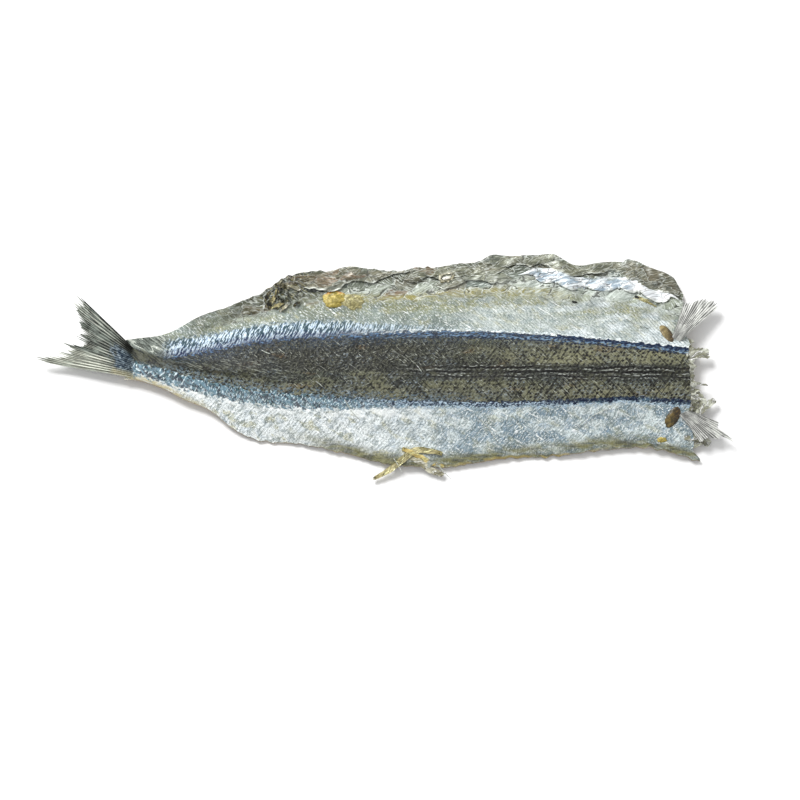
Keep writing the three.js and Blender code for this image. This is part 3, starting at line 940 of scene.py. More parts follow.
def flesh_finish():
    finish, tree, shader = new_finish("dried_flesh")
    A, C = noted(tree, "along"), noted(tree, "across")
    girth = calc("ABSOLUTE", C)
    cloud = patches(A, C, 10, stretch=1.5, seed=41)
    colour = blend(cloud, srgb(160, 142, 110), srgb(188, 173, 140))
    lining = patches(A, C, 8, stretch=2, seed=42, low=0.42, high=0.56) * ramp(girth, 16, 26)
    colour = blend(lining * 0.55, colour, srgb(118, 114, 102))
    muscle = pattern("lines", A, girth, slope=0.95, pitch=MUSCLE_PITCH, wobble=0.8, width=0.3)
    colour = blend(muscle * 0.6, colour, srgb(206, 194, 164))
    bone = ramp(girth, 2.6, 1.2)
    joints = pattern("lines", A, C, slope=0, pitch=3.6, wobble=0.2, width=0.4)
    colour = blend(bone * (0.5 + 0.5 * joints), colour, srgb(198, 184, 150))
    blood = between(girth, 2.6, 4.2, 0.7) * patches(A, C, 5, stretch=3, seed=43)
    colour = blend(blood * 0.6, colour, srgb(96, 62, 42))
    finish_with(tree, shader, colour, 0.46 + cloud * 0.12, 0.0)
    fibres = patches(A, girth, 0.8, stretch=4, angle=-45, seed=44, low=0.2, high=0.8)
    raise_by(tree, shader, muscle + fibres * 0.6 + bone, 0.5)
    print("dried_flesh", len(tree.nodes), "nodes")
    return finish


dried_flesh = flesh_finish()

# %% [markdown]
# ## The opened body
#
# One closed sheet carries skin above and flesh below. It has about as many cells as one piece may
# have, and nearly half of them lie in the belly wall, because its crinkles should be real folds.
# The distances that the skin finish reads are noted on its vertices.

# %% The body
CELLS_ALONG = 326
NEAR_CELLS = 44
FLANK_CELLS = 34
WALL_CELLS = 62
NEAR_PART, FAR_PART, WALL_PART, FLESH_PART = range(4)


def ragged_cut(side):
    ragged = 0.9 * np.sin(side * 17) + 0.7 * np.sin(side * 31 + 1)
    return BODY_LENGTH + ragged * smooth(0.3, 0.6, np.abs(side)) + 2.5 * smooth(-0.5, -1, side)


def split_body():
    all_cells = NEAR_CELLS + FLANK_CELLS + WALL_CELLS
    body, u, v, upper = sheet_grid("split_body", CELLS_ALONG, all_cells)
    lines = [0, NEAR_CELLS, NEAR_CELLS + FLANK_CELLS, all_cells]
    side = np.interp(v * all_cells, lines, [-1, 0, WALL_FROM, 1])
    at = u * BODY_LENGTH
    plan = across(at, side)
    fray = 1.1 * grain(at, side * 0, 3.1, 5) * smooth(0.93, 1, np.abs(side)) * smooth(30, 60, at)
    frayed_cut = 0.6 * grain(side * 30, side * 0, 1.3, 6) * smooth(0.985, 1, u)
    sunk = 1.6 * smooth(7, 0, at)
    height = np.where(upper, skin_height(at, side) - sunk, flesh_height(at, side))
    thin = np.where(upper, flesh_height(at, side) + 0.5, 0)
    put(body, u * ragged_cut(side) + frayed_cut, plan + fray, np.maximum(height, thin))
    back, margin = edges_at(at, side > 0)
    edge = np.where(side > 0, plan - back, back - plan)
    note(body, "along", at)
    note(body, "across", plan - midline(at))
    note(body, "edge", edge)
    note(body, "rim", np.abs(margin - plan))
    note(body, "side", side)
    turn_outwards(body)
    in_wall = (side > WALL_FROM - 0.07) & (edge > WALL_GAP)
    part = np.where(side < 0, NEAR_PART, np.where(in_wall, WALL_PART, FAR_PART))
    for face in body.data.polygons:
        corners = list(face.vertices)
        face.material_index = part[corners].min() if upper[corners].all() else FLESH_PART
    dress(body, "skin", near_skin, far_skin, wall_skin, dried_flesh)


split_body()

# %% [markdown]
# ## Fans of rays
#
# A fin is a fan of stiff rays with thin skin between them. The skin has torn and dried back, so
# the rays end as a ragged comb. A fan is again one closed sheet: its columns swing from one edge
# ray to the other, each ray is a ridge that splits in two further out, and the length of each
# column comes from the tips that the real fin shows.

# %% Fans


CELLS_PER_RAY = 8


def fan(
    name, rays, steps, root, direction, reach, bend, height, thickness, tear, seed,
    fork=1.0, relief=0.25,
):  # fmt: skip
    """Root, direction and reach are read across the fan. Each column is torn off by up to tear,
    and a fork of 1 splits each ray in two near its tip."""
    sheet, u, v, upper = sheet_grid(name, rays * CELLS_PER_RAY, steps)
    rng = random.Random(seed)
    comb = np.array([1 - tear * rng.random() for _ in range(2 * rays + 2)])
    halves = u * rays * 2
    forked = 0.5 - 0.5 * np.cos(2 * np.pi * halves)
    trim = 1 - forked * (1 - comb[np.minimum(np.round(halves).astype(int), 2 * rays + 1)])
    distance = v * reach(u) * trim
    angle = np.radians(direction(u) + bend * v * (u - 0.4))
    x, y = root(u)
    single = 0.5 + 0.5 * np.cos(2 * np.pi * u * rays)
    double = 0.5 + 0.5 * np.cos(4 * np.pi * u * rays)
    ridge = mix(single, double, fork * smooth(0.6, 0.95, v))
    thick = thickness(distance, v, u) * mix(0.45, 1, ridge)
    z = height(u, distance) + relief * ridge + np.where(upper, 0.5, -0.5) * thick
    put(sheet, x + distance * np.cos(angle), y + distance * np.sin(angle), np.maximum(z, 0.02))
    note(sheet, "along", distance)
    note(sheet, "ray", u * rays)
    note(sheet, "ridge", ridge)
    note(sheet, "fan", u)
    turn_outwards(sheet, 60)
    return sheet


# %% [markdown]
# ## Fin finishes
#
# Rays are pale and glossy, the skin between them is dark and torn. The colour could be striped by
# distance, but it reads the same ridge number that shaped the mesh, so colour and relief agree on
# every ray. The tail fin has a scaly blue foot, a dark upper lobe and a pale lower one.

# %% Fin finishes


RAY_WIDTH = 1.4


def fin_finish(name, gap, skin, ray, shades, gap_width):
    """Pale rays with dark gaps. Each shade is a part of the fan and how bright its rays are."""
    finish, tree, shader = new_finish(name)
    distance, place, ridge, across_fan = [
        noted(tree, label) for label in ("along", "ray", "ridge", "fan")
    ]
    width = place * RAY_WIDTH
    whole_ray = calc("FLOOR", place + 0.5) * 3.7
    mood = patches(distance, whole_ray, 2.6, stretch=12, seed=51, low=0.42, high=0.56)
    streak = patches(distance, width, 0.3, stretch=18, seed=53, low=0.46, high=0.56)
    cloud = patches(distance, width, 3, stretch=1.6, seed=52, low=0.4, high=0.6)
    bright = 0.0
    for start, end, amount in shades:
        bright = between(across_fan, start, end, 0.04) * amount + bright
    skin_colour = blend(cloud, srgb(*skin), srgb(*[0.7 * value for value in skin]))
    ray_colour = blend(bright * (0.3 + 0.7 * mood), skin_colour, srgb(*ray))
    colour = blend(ramp(ridge, 0.35, 0.7), skin_colour, ray_colour)
    dark_gap = ramp(ridge, gap_width, gap_width * 0.3) * (0.55 + 0.45 * cloud)
    colour = blend(dark_gap, colour, srgb(*gap))
    colour = blend(streak * 0.25, colour, srgb(*gap))
    finish_with(tree, shader, colour, 0.46 - ridge * 0.1, 0.0)
    shader.inputs["Specular IOR Level"].default_value = 0.3
    raise_by(tree, shader, ridge - streak * 0.3, 0.3)
    print(name, len(tree.nodes), "nodes")
    return finish, tree, shader, colour


def tail_finish():
    finish, tree, shader, colour = fin_finish(
        "tail_fin_skin", (34, 40, 37), (150, 158, 150), (240, 242, 230),
        ((0.0, 0.26, 0.62), (0.3, 0.6, 0.5), (0.64, 1.0, 1.0)), gap_width=0.36,
    )  # fmt: skip
    distance, across_fan = noted(tree, "along"), noted(tree, "fan")
    width = across_fan * 20
    pale = ramp(across_fan, 0.6, 0.72) * ramp(distance, 12, 20)
    colour = blend(pale * 0.22, colour, srgb(226, 228, 214))
    foot = ramp(distance, 17, 11) * ramp(across_fan, 0.95, 0.75)
    colour = blend(foot * 0.36, colour, srgb(56, 63, 58))
    spots = patches(distance, width, 1.4, stretch=1.5, seed=61, low=0.42, high=0.58)
    ragged = patches(distance, width, 2, seed=59, low=0.3, high=0.7) * 4
    scaly = ramp(distance + ragged, 17, 12) * ramp(across_fan, 0.18, 0.42)
    colour = blend(scaly * 0.8, colour, blend(spots, srgb(78, 100, 122), srgb(148, 164, 176)))
    white = patches(distance, width, 0.9, stretch=1.6, angle=40, seed=62, low=0.5, high=0.6)
    colour = blend(scaly * white * 0.8, colour, srgb(206, 218, 224))
    cream = ramp(distance, 16, 12) * ramp(across_fan, 0.78, 0.92)
    colour = blend(cream * 0.7, colour, srgb(206, 200, 172))
    top = ramp(distance, 10, 6) * ramp(across_fan, 0.34, 0.2)
    colour = blend(top * 0.8, colour, srgb(40, 43, 36))
    colour = blend(ramp(across_fan, 0.03, 0.012) * 0.8, colour, srgb(34, 40, 44))
    feed(tree, shader.inputs["Base Color"], colour)
    return finish


tail_fin_skin = tail_finish()
breast_fin_skin = fin_finish(
    "breast_fin_skin", (46, 48, 40), (236, 238, 232), (255, 255, 252),
    ((0.0, 1.0, 0.9),), gap_width=0.15,
)[0]  # fmt: skip

# %% [markdown]
# ## The tail fin
#
# It is forked, and lies on its side with the upper lobe dark and the lower lobe pale. Rays stick
# together in bundles, so the free edge has a few long spikes. Each is given as a place across the
# fan, from the upper to the lower edge, with its length and its direction in degrees.

# %% Tail fin
TAIL_RAYS = 18
TAIL_TIPS = np.array(
    [
        [0, 36.9, 136], [0.026, 40.3, 137], [0.075, 36.6, 139], [0.121, 39.9, 141.2],
        [0.157, 36.6, 142.8], [0.245, 33.5, 146.4], [0.319, 31.4, 149.4], [0.4, 28.9, 152.5],
        [0.43, 30.7, 153.7], [0.485, 33.6, 155.7], [0.53, 28, 157.2], [0.592, 27.7, 159.3],
        [0.631, 38.3, 160.7], [0.68, 32.7, 162.2], [0.723, 35.2, 163.4], [0.75, 33.6, 164.2],
        [0.795, 42.9, 165.3], [0.826, 37.1, 166.1], [0.88, 43, 167.4], [0.943, 50.4, 168.7],
        [1, 47.4, 170],
    ]
)  # fmt: skip


def tail_thickness(distance, v, u):
    pad = 4.6 * (0.35 + 0.65 * np.sin(np.pi * u))
    return mix(pad, 1.1 * mix(1, 0.45, v), smooth(2, 14, distance))


tail_fin = fan(
    "tail_fin",
    rays=TAIL_RAYS,
    steps=48,
    root=lambda u: (mix(5, 8, u), mix(11.7, -1.6, u)),
    direction=lambda u: np.interp(u, TAIL_TIPS[:, 0], TAIL_TIPS[:, 2]),
    reach=lambda u: np.interp(u, TAIL_TIPS[:, 0], TAIL_TIPS[:, 1]),
    bend=0,
    height=lambda u, d: 4.2 + 0.05 * d * (1 - u) + 0.5 * np.sin((d - 4) / 6),
    thickness=tail_thickness,
    tear=0.25,
    seed=11,
)
dress(tail_fin, "fin", tail_fin_skin)

# %% [markdown]
# ## The breast fins
#
# Two small pale fans of fine rays stand out past the cut, one on each side of the back. Each
# springs from a brown oval pad on the silver skin. A flat card with a striped finish would do from
# above, but not from the side, so the fan of the tail fin is used again, thinner and not forked.

# %% Breast fins
BREAST_FIN_LENGTH = 26
BREAST_FIN_THICKNESS = 0.5
BREAST_FINS = {
    "far_breast_fin": {
        "turn": 1, "at": 250, "y": 15.8, "direction": (45, 66), "bend": 6, "seed": 5,
        "tips": ([0, 0.1, 0.3, 0.5, 0.7, 1], [1.0, 1.08, 1.02, 0.95, 0.8, 0.68]),
    },
    "near_breast_fin": {
        "turn": -1, "at": 252, "y": -17, "direction": (-24, -52), "bend": -4, "seed": 7,
        "tips": (
            [0, 0.2, 0.27, 0.31, 0.36, 0.5, 0.62, 1],
            [0.62, 0.66, 0.98, 1.02, 0.76, 0.8, 0.66, 0.62],
        ),
    },
}  # fmt: skip


def skin_over(x, y):
    at = np.clip(x, 0, BODY_LENGTH)
    return top_height(at, side_of(at, y))


def breast_fin(name, turn, at, y, direction, tips, bend, seed):
    base = float(skin_over(np.array([at]), np.array([y]))[0])
    fin = fan(
        name,
        rays=13,
        steps=30,
        root=lambda u: (at + mix(1.6, -1.6, u), y + turn * mix(-1.0, 1.4, u)),
        direction=lambda u: mix(*direction, u),
        reach=lambda u: BREAST_FIN_LENGTH * np.interp(u, *tips),
        bend=bend,
        height=lambda u, d: base - 0.3 + 2.2 * smooth(0, 6, d) - 0.13 * d,
        thickness=lambda d, v, u: BREAST_FIN_THICKNESS * mix(1, 0.6, v),
        tear=0.12,
        seed=seed,
        fork=0.0,
        relief=0.05,
    )
    dress(fin, "fin", breast_fin_skin)


for name, sizes in BREAST_FINS.items():
    breast_fin(name, **sizes)

# %% [markdown]
# ## Films of the belly wall
#
# The belly wall of the far side is thinner than paper in places. It dried in folds that lie over
# the flank like crumpled film, and near the cut its silver lining turned over into a row of lobes.
# Each fold is a closed sheet of its own, laid on the skin between two sides of the body, so that
# its free inner edge throws a real shadow.

# %% Film finishes


def film_finish(name, deep, light, amount=1.0, lined=0.6, own_from=0.05, white_from=None):
    """A film reads the layers of the wall below it, mixed with colours of its own. An amount of 1
    is all its own, own_from is how far from its held edge they start, and white_from is how far
    along the fish it turns plain white."""
    finish, tree, shader = new_finish(name)
    A, C = noted(tree, "along"), noted(tree, "across")
    cloud = patches(A, C, 2.4, stretch=2.5, angle=12, seed=71, low=0.4, high=0.6)
    own = blend(cloud, srgb(*deep), srgb(*light))
    grit = patches(A, C, 0.5, stretch=2.5, angle=24, seed=72, low=0.5, high=0.62)
    own = blend(grit * lined * 0.6, own, srgb(*[0.7 * value for value in deep]))
    where = {"size": 2.2, "stretch": 3.5, "angle": 18, "seed": 73}
    # Painted shade along one side of each fold of the film.
    dark = pattern("folds", A, C, level=0.485, width=0.018, **where)
    own = blend(dark * lined, own, srgb(*[0.5 * value for value in deep]))
    if white_from:
        own = blend(ramp(A, white_from, white_from + 6) * 0.65, own, srgb(252, 253, 253))
    # Painted highlight along the other side of each fold.
    bright = pattern("folds", A, C, level=0.507, width=0.018, **where)
    own = blend(bright * 0.8, own, srgb(*[min(255, 1.2 * value + 12) for value in light]))
    if amount < 1:
        tip = noted(tree, "tip")
        wall = wall_layers(A, C, noted(tree, "side"))
        own = blend(ramp(tip + cloud * 0.25, own_from, own_from + 0.35) * amount, wall, own)
        # Painted highlight along the rolled free edge of the film.
        own = blend(ramp(tip, 0.88, 0.95) * 0.7 * cloud, own, srgb(228, 232, 224))
    finish_with(tree, shader, own, 0.42 - bright * 0.14, cloud * 0.1)
    shader.inputs["Specular IOR Level"].default_value = 0.35
    raise_by(tree, shader, bright - dark + cloud * 0.5, 0.3)
    print(name, len(tree.nodes), "nodes")
    return finish


wall_film = film_finish("wall_film", (96, 94, 72), (164, 164, 144), amount=0.4)
brown_film = film_finish("brown_film", (88, 82, 62), (150, 142, 120), amount=0.4)
silver_film = film_finish(
    "silver_film", (158, 174, 186), (243, 248, 250),
    amount=0.95, lined=0.75, own_from=0.2, white_from=228,
)  # fmt: skip

# %% [markdown]
# ## Laying a film on the skin
#
# A film is held by the wall along its outer edge and free along its inner one, where it rolled up
# as it dried. Solidify would thicken a flat film that is then draped, but a dried film is stiff and
# crumpled before it is laid. So it takes its height from the skin below, a roll at its free edge
# and crumples from seeded ridges.

# %% Laying a film on the skin


FILM_THICKNESS = 0.25


def lying_sheet(
    name, reach, outer, inner, roll, curl, crumple, cells, seed, finish, sink=0.0, fray=1.0
):  # fmt: skip
    """A film from the outer to the inner side, with a rolled free edge and seeded crumples. Sink
    is how deep its held edge lies in the skin, and fray how ragged its free edge is."""
    sheet, u, v, upper = sheet_grid(name, *cells)
    at = mix(*reach, u)
    ends = smooth(0, 0.14, u) * smooth(1, 0.86, u)
    outside, inside = outer(at) - 0.06 * (1 - ends), inner(at)
    torn = 0.012 * grain(at, at * 0, 2.2, seed + 0.5) + 0.03 * grain(at, at * 0, 6.5, seed + 0.7)
    free = mix(outside - 0.004, inside + fray * torn, np.sqrt(ends))
    side = mix(outside, free, v)
    width = FAR_WIDTH * side
    folds = ridges(at, width, 3, 4, 8, seed) + 0.7 * ridges(at, width, 2.4, 3, 36, seed + 3)
    rolled = roll * ends * mix(v**1.5, np.sin(np.pi * v**1.7).clip(0) ** 0.8, curl)
    buried = sink * smooth(0.3, 0, v) + 0.5 * (1 - smooth(0, 0.3, ends))
    lift = 0.1 + rolled + crumple * folds.clip(0) * smooth(0.1, 0.5, v) * ends - buried
    y = across(at, side)
    under = np.maximum(skin_height(at, np.minimum(side, 1)) + lift, 0.05)
    put(sheet, at, y, under + np.where(upper, FILM_THICKNESS, 0))
    note(sheet, "along", at)
    note(sheet, "across", y - midline(at))
    note(sheet, "side", side)
    note(sheet, "tip", v)
    turn_outwards(sheet)
    dress(sheet, "flesh", finish)


# %% [markdown]
# ## The silver lobes and the loose folds
#
# The silver lining hangs over the flank in five lobes, and loose folds lie over the rest of the
# wall. A cloth simulation could drop them, but their places are known, so each is one film between
# two curves. The free curve of the lobes is a row of scallops, that of a fold a sum of waves.

# %% The silver lobes
LOBES = [(187, 197), (196, 211), (210.5, 226), (225, 235), (234, 249)]


def scallop(at, start, end):
    """Half an ellipse from start to end, deeper where it is longer."""
    share = (at - (start + end) / 2) / ((end - start) / 2)
    return np.sqrt(np.clip(1 - share**2, 0, 1)) * np.sqrt((end - start) / 13)


def lobe_edge(at):
    """Each lobe hangs in a round scallop towards the back, and the last hangs deepest."""
    depth = sum(scallop(at, start, end) for start, end in LOBES)
    return 0.86 - 0.065 * depth.clip(0, 1.1) - 0.015 * smooth(228, 243, at)


def waves(base, *terms):
    return lambda at: base + sum(size * np.sin(at / length + turn) for size, length, turn in terms)


lying_sheet(
    "silver_lobes", (179, 256), waves(0.95, (0.014, 6, 0)), lobe_edge, roll=0.9, curl=0.8,
    crumple=0.14, cells=(250, 30), seed=45, finish=silver_film, sink=0.9, fray=0.15,
)  # fmt: skip

# %% Loose folds of the wall
lying_sheet(
    "tail_end_fold", (76, 142), waves(1.0, (0.008, 5, 0)),
    lambda at: 0.82 + 0.17 * smooth(88, 138, at) + 0.012 * np.sin(at / 3.1),
    roll=0.5, curl=0.3, crumple=0.38, cells=(150, 22), seed=57, finish=brown_film,
)  # fmt: skip
lying_sheet(
    "middle_fold", (124, 176), waves(0.99, (0.008, 7, 0)),
    waves(0.885, (0.02, 7, 0.4), (0.012, 3.1, 1)),
    roll=0.5, curl=0.4, crumple=0.38, cells=(130, 20), seed=33, finish=wall_film,
)  # fmt: skip
lying_sheet(
    "inner_ridge", (140, 178), waves(0.9, (0.008, 7, 0)),
    waves(0.8, (0.03, 9, 2.2), (0.01, 3.1, 1)),
    roll=0.6, curl=0.6, crumple=0.3, cells=(110, 16), seed=37, finish=wall_film, sink=0.8,
)  # fmt: skip
lying_sheet(
    "rim_fold", (158, 240), waves(1.03, (0.012, 5, 0)),
    waves(0.94, (0.014, 6, 2), (0.01, 2.7, 0)),
    roll=0.45, curl=0.3, crumple=0.3, cells=(190, 16), seed=61, finish=wall_film,
)  # fmt: skip
lying_sheet(
    "cut_end_fold", (226, 255), waves(1.06, (0.012, 4, 0)),
    waves(0.87, (0.02, 4, 2), (0.012, 1.9, 0)),
    roll=0.55, curl=0.5, crumple=0.36, cells=(90, 20), seed=67, finish=brown_film,
)  # fmt: skip

# %% [markdown]
# ## Torn strips and rags
#
# What is left of the belly fins is a forked golden ribbon over the near margin. Where the head
# was cut away, rags of thin skin and flesh stick out. A curve with a bevel would be round, and
# these are flat and frayed, so a strip is a closed sheet swept along a smooth path, narrower at
# its ends, with small ribs along it.

# %% Strips


def through(points, t):
    """Places on a smooth path through the points, for shares t from 0 to 1."""
    points = np.array(points, float)
    last = len(points) - 1
    k = np.clip((t * last).astype(int), 0, last - 1)
    f = (t * last - k)[:, None]
    before, here, after = points[np.maximum(k - 1, 0)], points[k], points[k + 1]
    beyond = points[np.minimum(k + 2, last)]
    square = (2 * before - 5 * here + 4 * after - beyond) * f**2
    cube = (3 * here - before - 3 * after + beyond) * f**3
    return 0.5 * (2 * here + (after - before) * f + (square + cube))


def strip(name, points, width, thickness, finish, ribs, seed, blunt=0.3, cells=(48, 14)):
    """Blunt is how wide the strip still is at its ends, as a share of its width."""
    sheet, u, v, upper = sheet_grid(name, *cells)
    centre = through(points, u)
    tangent = through(points, np.minimum(u + 0.01, 1)) - through(points, np.maximum(u - 0.01, 0))
    norm = np.hypot(tangent[:, 0], tangent[:, 1]) + 1e-9
    half = width / 2 * (blunt + (1 - blunt) * np.sin(np.pi * mix(0.12, 0.92, u)))
    half *= 1 + 0.25 * grain(u * 20, v.round() * 9, 1.4, seed)
    offset = (2 * v - 1) * half
    fray = 1.6 * grain(v * 9, v * 0, 1, seed + 4) * smooth(0.75, 1, u)
    x = centre[:, 0] + (fray * tangent[:, 0] - offset * tangent[:, 1]) / norm
    y = centre[:, 1] + (fray * tangent[:, 1] + offset * tangent[:, 0]) / norm
    ridge = 0.5 + 0.5 * np.cos(2 * np.pi * ribs * v)
    curl = 0.3 * grain(x, y, 3, seed + 8)
    z = centre[:, 2] + 0.25 * ridge * thickness + curl + np.where(upper, 0.5, -0.5) * thickness
    put(sheet, x, y, np.maximum(z, 0.02))
    length = float(np.abs(np.diff(np.array(points)[:, :2], axis=0)).sum())
    note(sheet, "along", u * length)
    note(sheet, "across", offset)
    turn_outwards(sheet)
    dress(sheet, "flesh", finish)


golden_strip = film_finish("golden_strip", (150, 143, 104), (208, 200, 160))
amber_strip = film_finish("amber_strip", (184, 166, 108), (228, 214, 156))
ribbed_strip = film_finish("ribbed_strip", (150, 146, 122), (216, 214, 196))
pale_rag = film_finish("pale_rag", (146, 146, 128), (214, 216, 204))
dark_shred = film_finish("dark_shred", (48, 48, 40), (122, 116, 84))
white_thread = film_finish("white_thread", (176, 182, 174), (218, 222, 214), lined=0.2)


def laid(points, droop=True):
    """Plan places with the height of the skin below them. The last ones droop to the ground."""
    plan = np.array(points, float)
    z = np.maximum(0.8, skin_over(plan[:, 0], plan[:, 1]) + 0.2)
    if droop:
        z[-2:] = z[-2] * 0.7, 1.4
    return np.column_stack([plan, z])


strip(
    "belly_fin_strip",
    laid([[144, -36], [137, -34.6], [131, -35], [125.5, -39.5], [119.5, -43.8], [113.5, -47]]),
    width=3.0, thickness=0.7, finish=golden_strip, ribs=4, seed=2,
)  # fmt: skip
strip(
    "belly_fin_branch", laid([[126, -33.8], [132, -36.5], [139, -40], [145, -41.5]]),
    width=2.4, thickness=0.7, finish=amber_strip, ribs=3, seed=3,
)  # fmt: skip
strip(
    "belly_fin_ribs", laid([[129, -36.8], [134, -40], [138.5, -43.2], [144.5, -45.4]]),
    width=2.8, thickness=0.6, finish=ribbed_strip, ribs=4, blunt=0.7, seed=4,
)  # fmt: skip

# %% [markdown]
# ## The cut
#
# Five larger rags stand out of the cut, and between them a fringe of torn skin. The rags are
# strips at places of their own. The fringe is a sheet whose free edge is cut by two sizes of
# noise, because no two tears are alike.

# %% Rags at the cut
RAG_THICKNESS = 0.55
# name, width, how blunt it ends, and its path from the body outwards
CUT_RAGS = [
    ("square_rag", 4.6, 0.85,
     [[253, 9.5, 5.6], [257, 9.8, 5.6], [261.5, 10.6, 5], [265.5, 10.4, 4.4]]),
    ("middle_rag", 6, 0.6,
     [[253, -10, 5], [257, -9.6, 4.8], [260, -11, 4.2], [262.5, -13.5, 3.6]]),
    ("thin_rag", 3.4, 0.6,
     [[256, -20, 3.4], [260.5, -16.5, 3.9], [264, -13.5, 3.6], [267.5, -11, 3]]),
    ("low_rag", 4.5, 0.5,
     [[253, -28, 2.8], [258, -28, 2.8], [261.5, -29, 2.3], [264.5, -31.5, 1.8]]),
    ("cut_spike", 1.1, 0.3,
     [[255, -3.4, 6], [258, -3.6, 5.4], [261, -4, 4.8], [264, -4.4, 4.4]]),
]  # fmt: skip
for seed, (name, width, blunt, points) in enumerate(CUT_RAGS):
    strip(name, points, width, RAG_THICKNESS, pale_rag, ribs=2, blunt=blunt, seed=seed + 5)


def cut_fringe(name, from_y, to_y, reach, seed):
    """Torn skin that stands out past the cut, with a jagged free edge."""
    sheet, u, v, upper = sheet_grid(name, 90, 14)
    y = mix(from_y, to_y, u)
    edge = reach * (0.55 + 0.6 * grain(y, y * 0, 3.2, seed) + 0.5 * grain(y, y * 0, 1.1, seed + 2))
    ends = smooth(0, 0.06, u) * smooth(1, 0.94, u)
    side = side_of(y * 0 + BODY_LENGTH, y)
    x = 253.8 + v * (2.6 + (edge.clip(0.1) + 0.4) * ends) + 2.5 * smooth(-0.5, -1, side)
    top = np.maximum(1.2, top_height(y * 0 + 254.5, side))
    droop = 0.4 + 0.35 * grain(y, v * 6, 3, seed + 4)
    hanging = 1.4 + (top - 1.4) * (1 - droop)
    z = mix(top - 0.6, hanging, smooth(0.3, 1, v)) + 0.4 * grain(x, y, 1.6, seed + 6)
    put(sheet, x, y, np.maximum(z + np.where(upper, 0.2, -0.2), 0.05))
    note(sheet, "along", x)
    note(sheet, "across", y)
    turn_outwards(sheet)
    dress(sheet, "flesh", pale_rag)


cut_fringe("far_cut_fringe", from_y=18, to_y=3, reach=3.6, seed=91)
cut_fringe("middle_cut_fringe", from_y=6, to_y=-7, reach=3.4, seed=93)
cut_fringe("near_cut_fringe", from_y=-5, to_y=-33, reach=4.6, seed=95)

# %% [markdown]
# ## Crumpled shreds and hairs
#
# At the tail end of the belly wall the skin is torn to small shreds that stand up, and a few white
# hairs of tissue lie on the back and hang over the margin. Particles could scatter them, but then
# nothing is left in the export. They are short strips with seeded places and widths.

# %% Crumpled shreds and hairs
SHREDS = 16
SHRED_THICKNESS = 0.3
HAIR_WIDTH = 0.3
HAIR_THICKNESS = 0.22

rng = random.Random(7)
for k in range(SHREDS):
    x, y = rng.uniform(63, 79), rng.uniform(31, 44)
    turn = math.radians(rng.choice([35, 60, -20, 80]) + rng.uniform(-15, 15))
    reach = rng.uniform(1.6, 3.4)
    reach_x, reach_y = reach * math.cos(turn), reach * math.sin(turn)
    points = laid([[x + t * reach_x, y + t * reach_y] for t in (-1, -0.3, 0.4, 1)], droop=False)
    points[:, 2] += [-0.2, 0.5, 0.9, 0.3]
    finish = rng.choice([dark_shred, dark_shred, golden_strip, ribbed_strip])
    width = rng.uniform(0.8, 1.7)
    name = f"shred_{k + 1}"
    strip(name, points, width, SHRED_THICKNESS, finish, ribs=1, seed=k + 100, cells=(16, 6))

HAIRS = {
    "hair_1": [[141, -40], [145, -44.5], [148, -47.5]],
    "hair_2": [[122, -38], [124.5, -42], [126, -45]],
    "hair_3": [[62, 11], [64.2, 9.8], [66.5, 9]],
    "hair_4": [[132.5, 3.2], [133.7, 1.8], [134.6, 0.4]],
    "hair_5": [[87, -4], [88.5, -5], [90, -6.4]],
    "hair_6": [[160, -20], [165, -25], [169, -31]],
    "hair_7": [[205, -24], [212, -19], [219, -16]],
    "hair_8": [[224, 30], [231, 25], [238, 22]],
    "hair_9": [[100, -12], [103, -17], [107, -21]],
}
for k, (name, plan) in enumerate(HAIRS.items()):
    points = laid(plan, droop=False)
    points[:, 2] += 0.15
    strip(
        name, points, HAIR_WIDTH, HAIR_THICKNESS, white_thread, ribs=0, seed=k + 150,
        cells=(28, 4),
    )  # fmt: skip

# %% [markdown]
# ## Pads, roe and specks
#
# Each breast fin springs from a brown oval pad. A lump of dried roe sticks out of the belly wall
# near the tail end of the folds, with an olive smear beside it, and the wall drew together in a
# ring around a tear. They could be sculpted, but spheres and a torus, squashed and roughened in
# the mesh by a seeded noise, need only a place, a size and a turn.

# %% Lumps


def lump_finish(name, deep, light, cap=None, dark_end=None, gritty=0.45):
    """Cap is the colour of the edge away from the back, and dark_end that of the cut side."""
    finish, tree, shader = new_finish(name)
    A, C = noted(tree, "along"), noted(tree, "across")
    cloud = patches(A, C, 2.4, stretch=1.5, angle=40, seed=81, low=0.4, high=0.6)
    colour = blend(cloud, srgb(*deep), srgb(*light))
    if cap:
        colour = blend(ramp(C + cloud * 1.5, 3.2, 4.2), colour, srgb(*cap))
    if dark_end:
        colour = blend(ramp(A + cloud, -0.6, 2.2) * 0.85, colour, srgb(*dark_end))
    grit = patches(A, C, 0.45, stretch=2, angle=-40, seed=82, low=0.5, high=0.62)
    colour = blend(grit * gritty, colour, srgb(*[0.66 * value for value in deep]))
    spark = patches(A, C, 0.5, stretch=2, angle=30, seed=83, low=0.56, high=0.62)
    colour = blend(spark * gritty, colour, srgb(*[min(255, value * 1.2 + 12) for value in light]))
    finish_with(tree, shader, colour, 0.36 + cloud * 0.1, 0.0)
    raise_by(tree, shader, grit * gritty + cloud * 0.5, 0.3)
    print(name, len(tree.nodes), "nodes")
    return finish


def set_down(piece, places, centre, turn, finish):
    """Turns a small piece, lays it on the skin and dresses it."""
    a, b, c = places.T
    angle = math.radians(turn)
    x = centre[0] + a * math.cos(angle) - b * math.sin(angle)
    y = centre[1] + a * math.sin(angle) + b * math.cos(angle)
    put(piece, x, y, np.maximum(0.05, skin_height(x, side_of(x, y)) + c + centre[2]))
    note(piece, "along", x - centre[0])
    note(piece, "across", y - centre[1])
    turn_outwards(piece, 80)
    dress(piece, "flesh", finish)


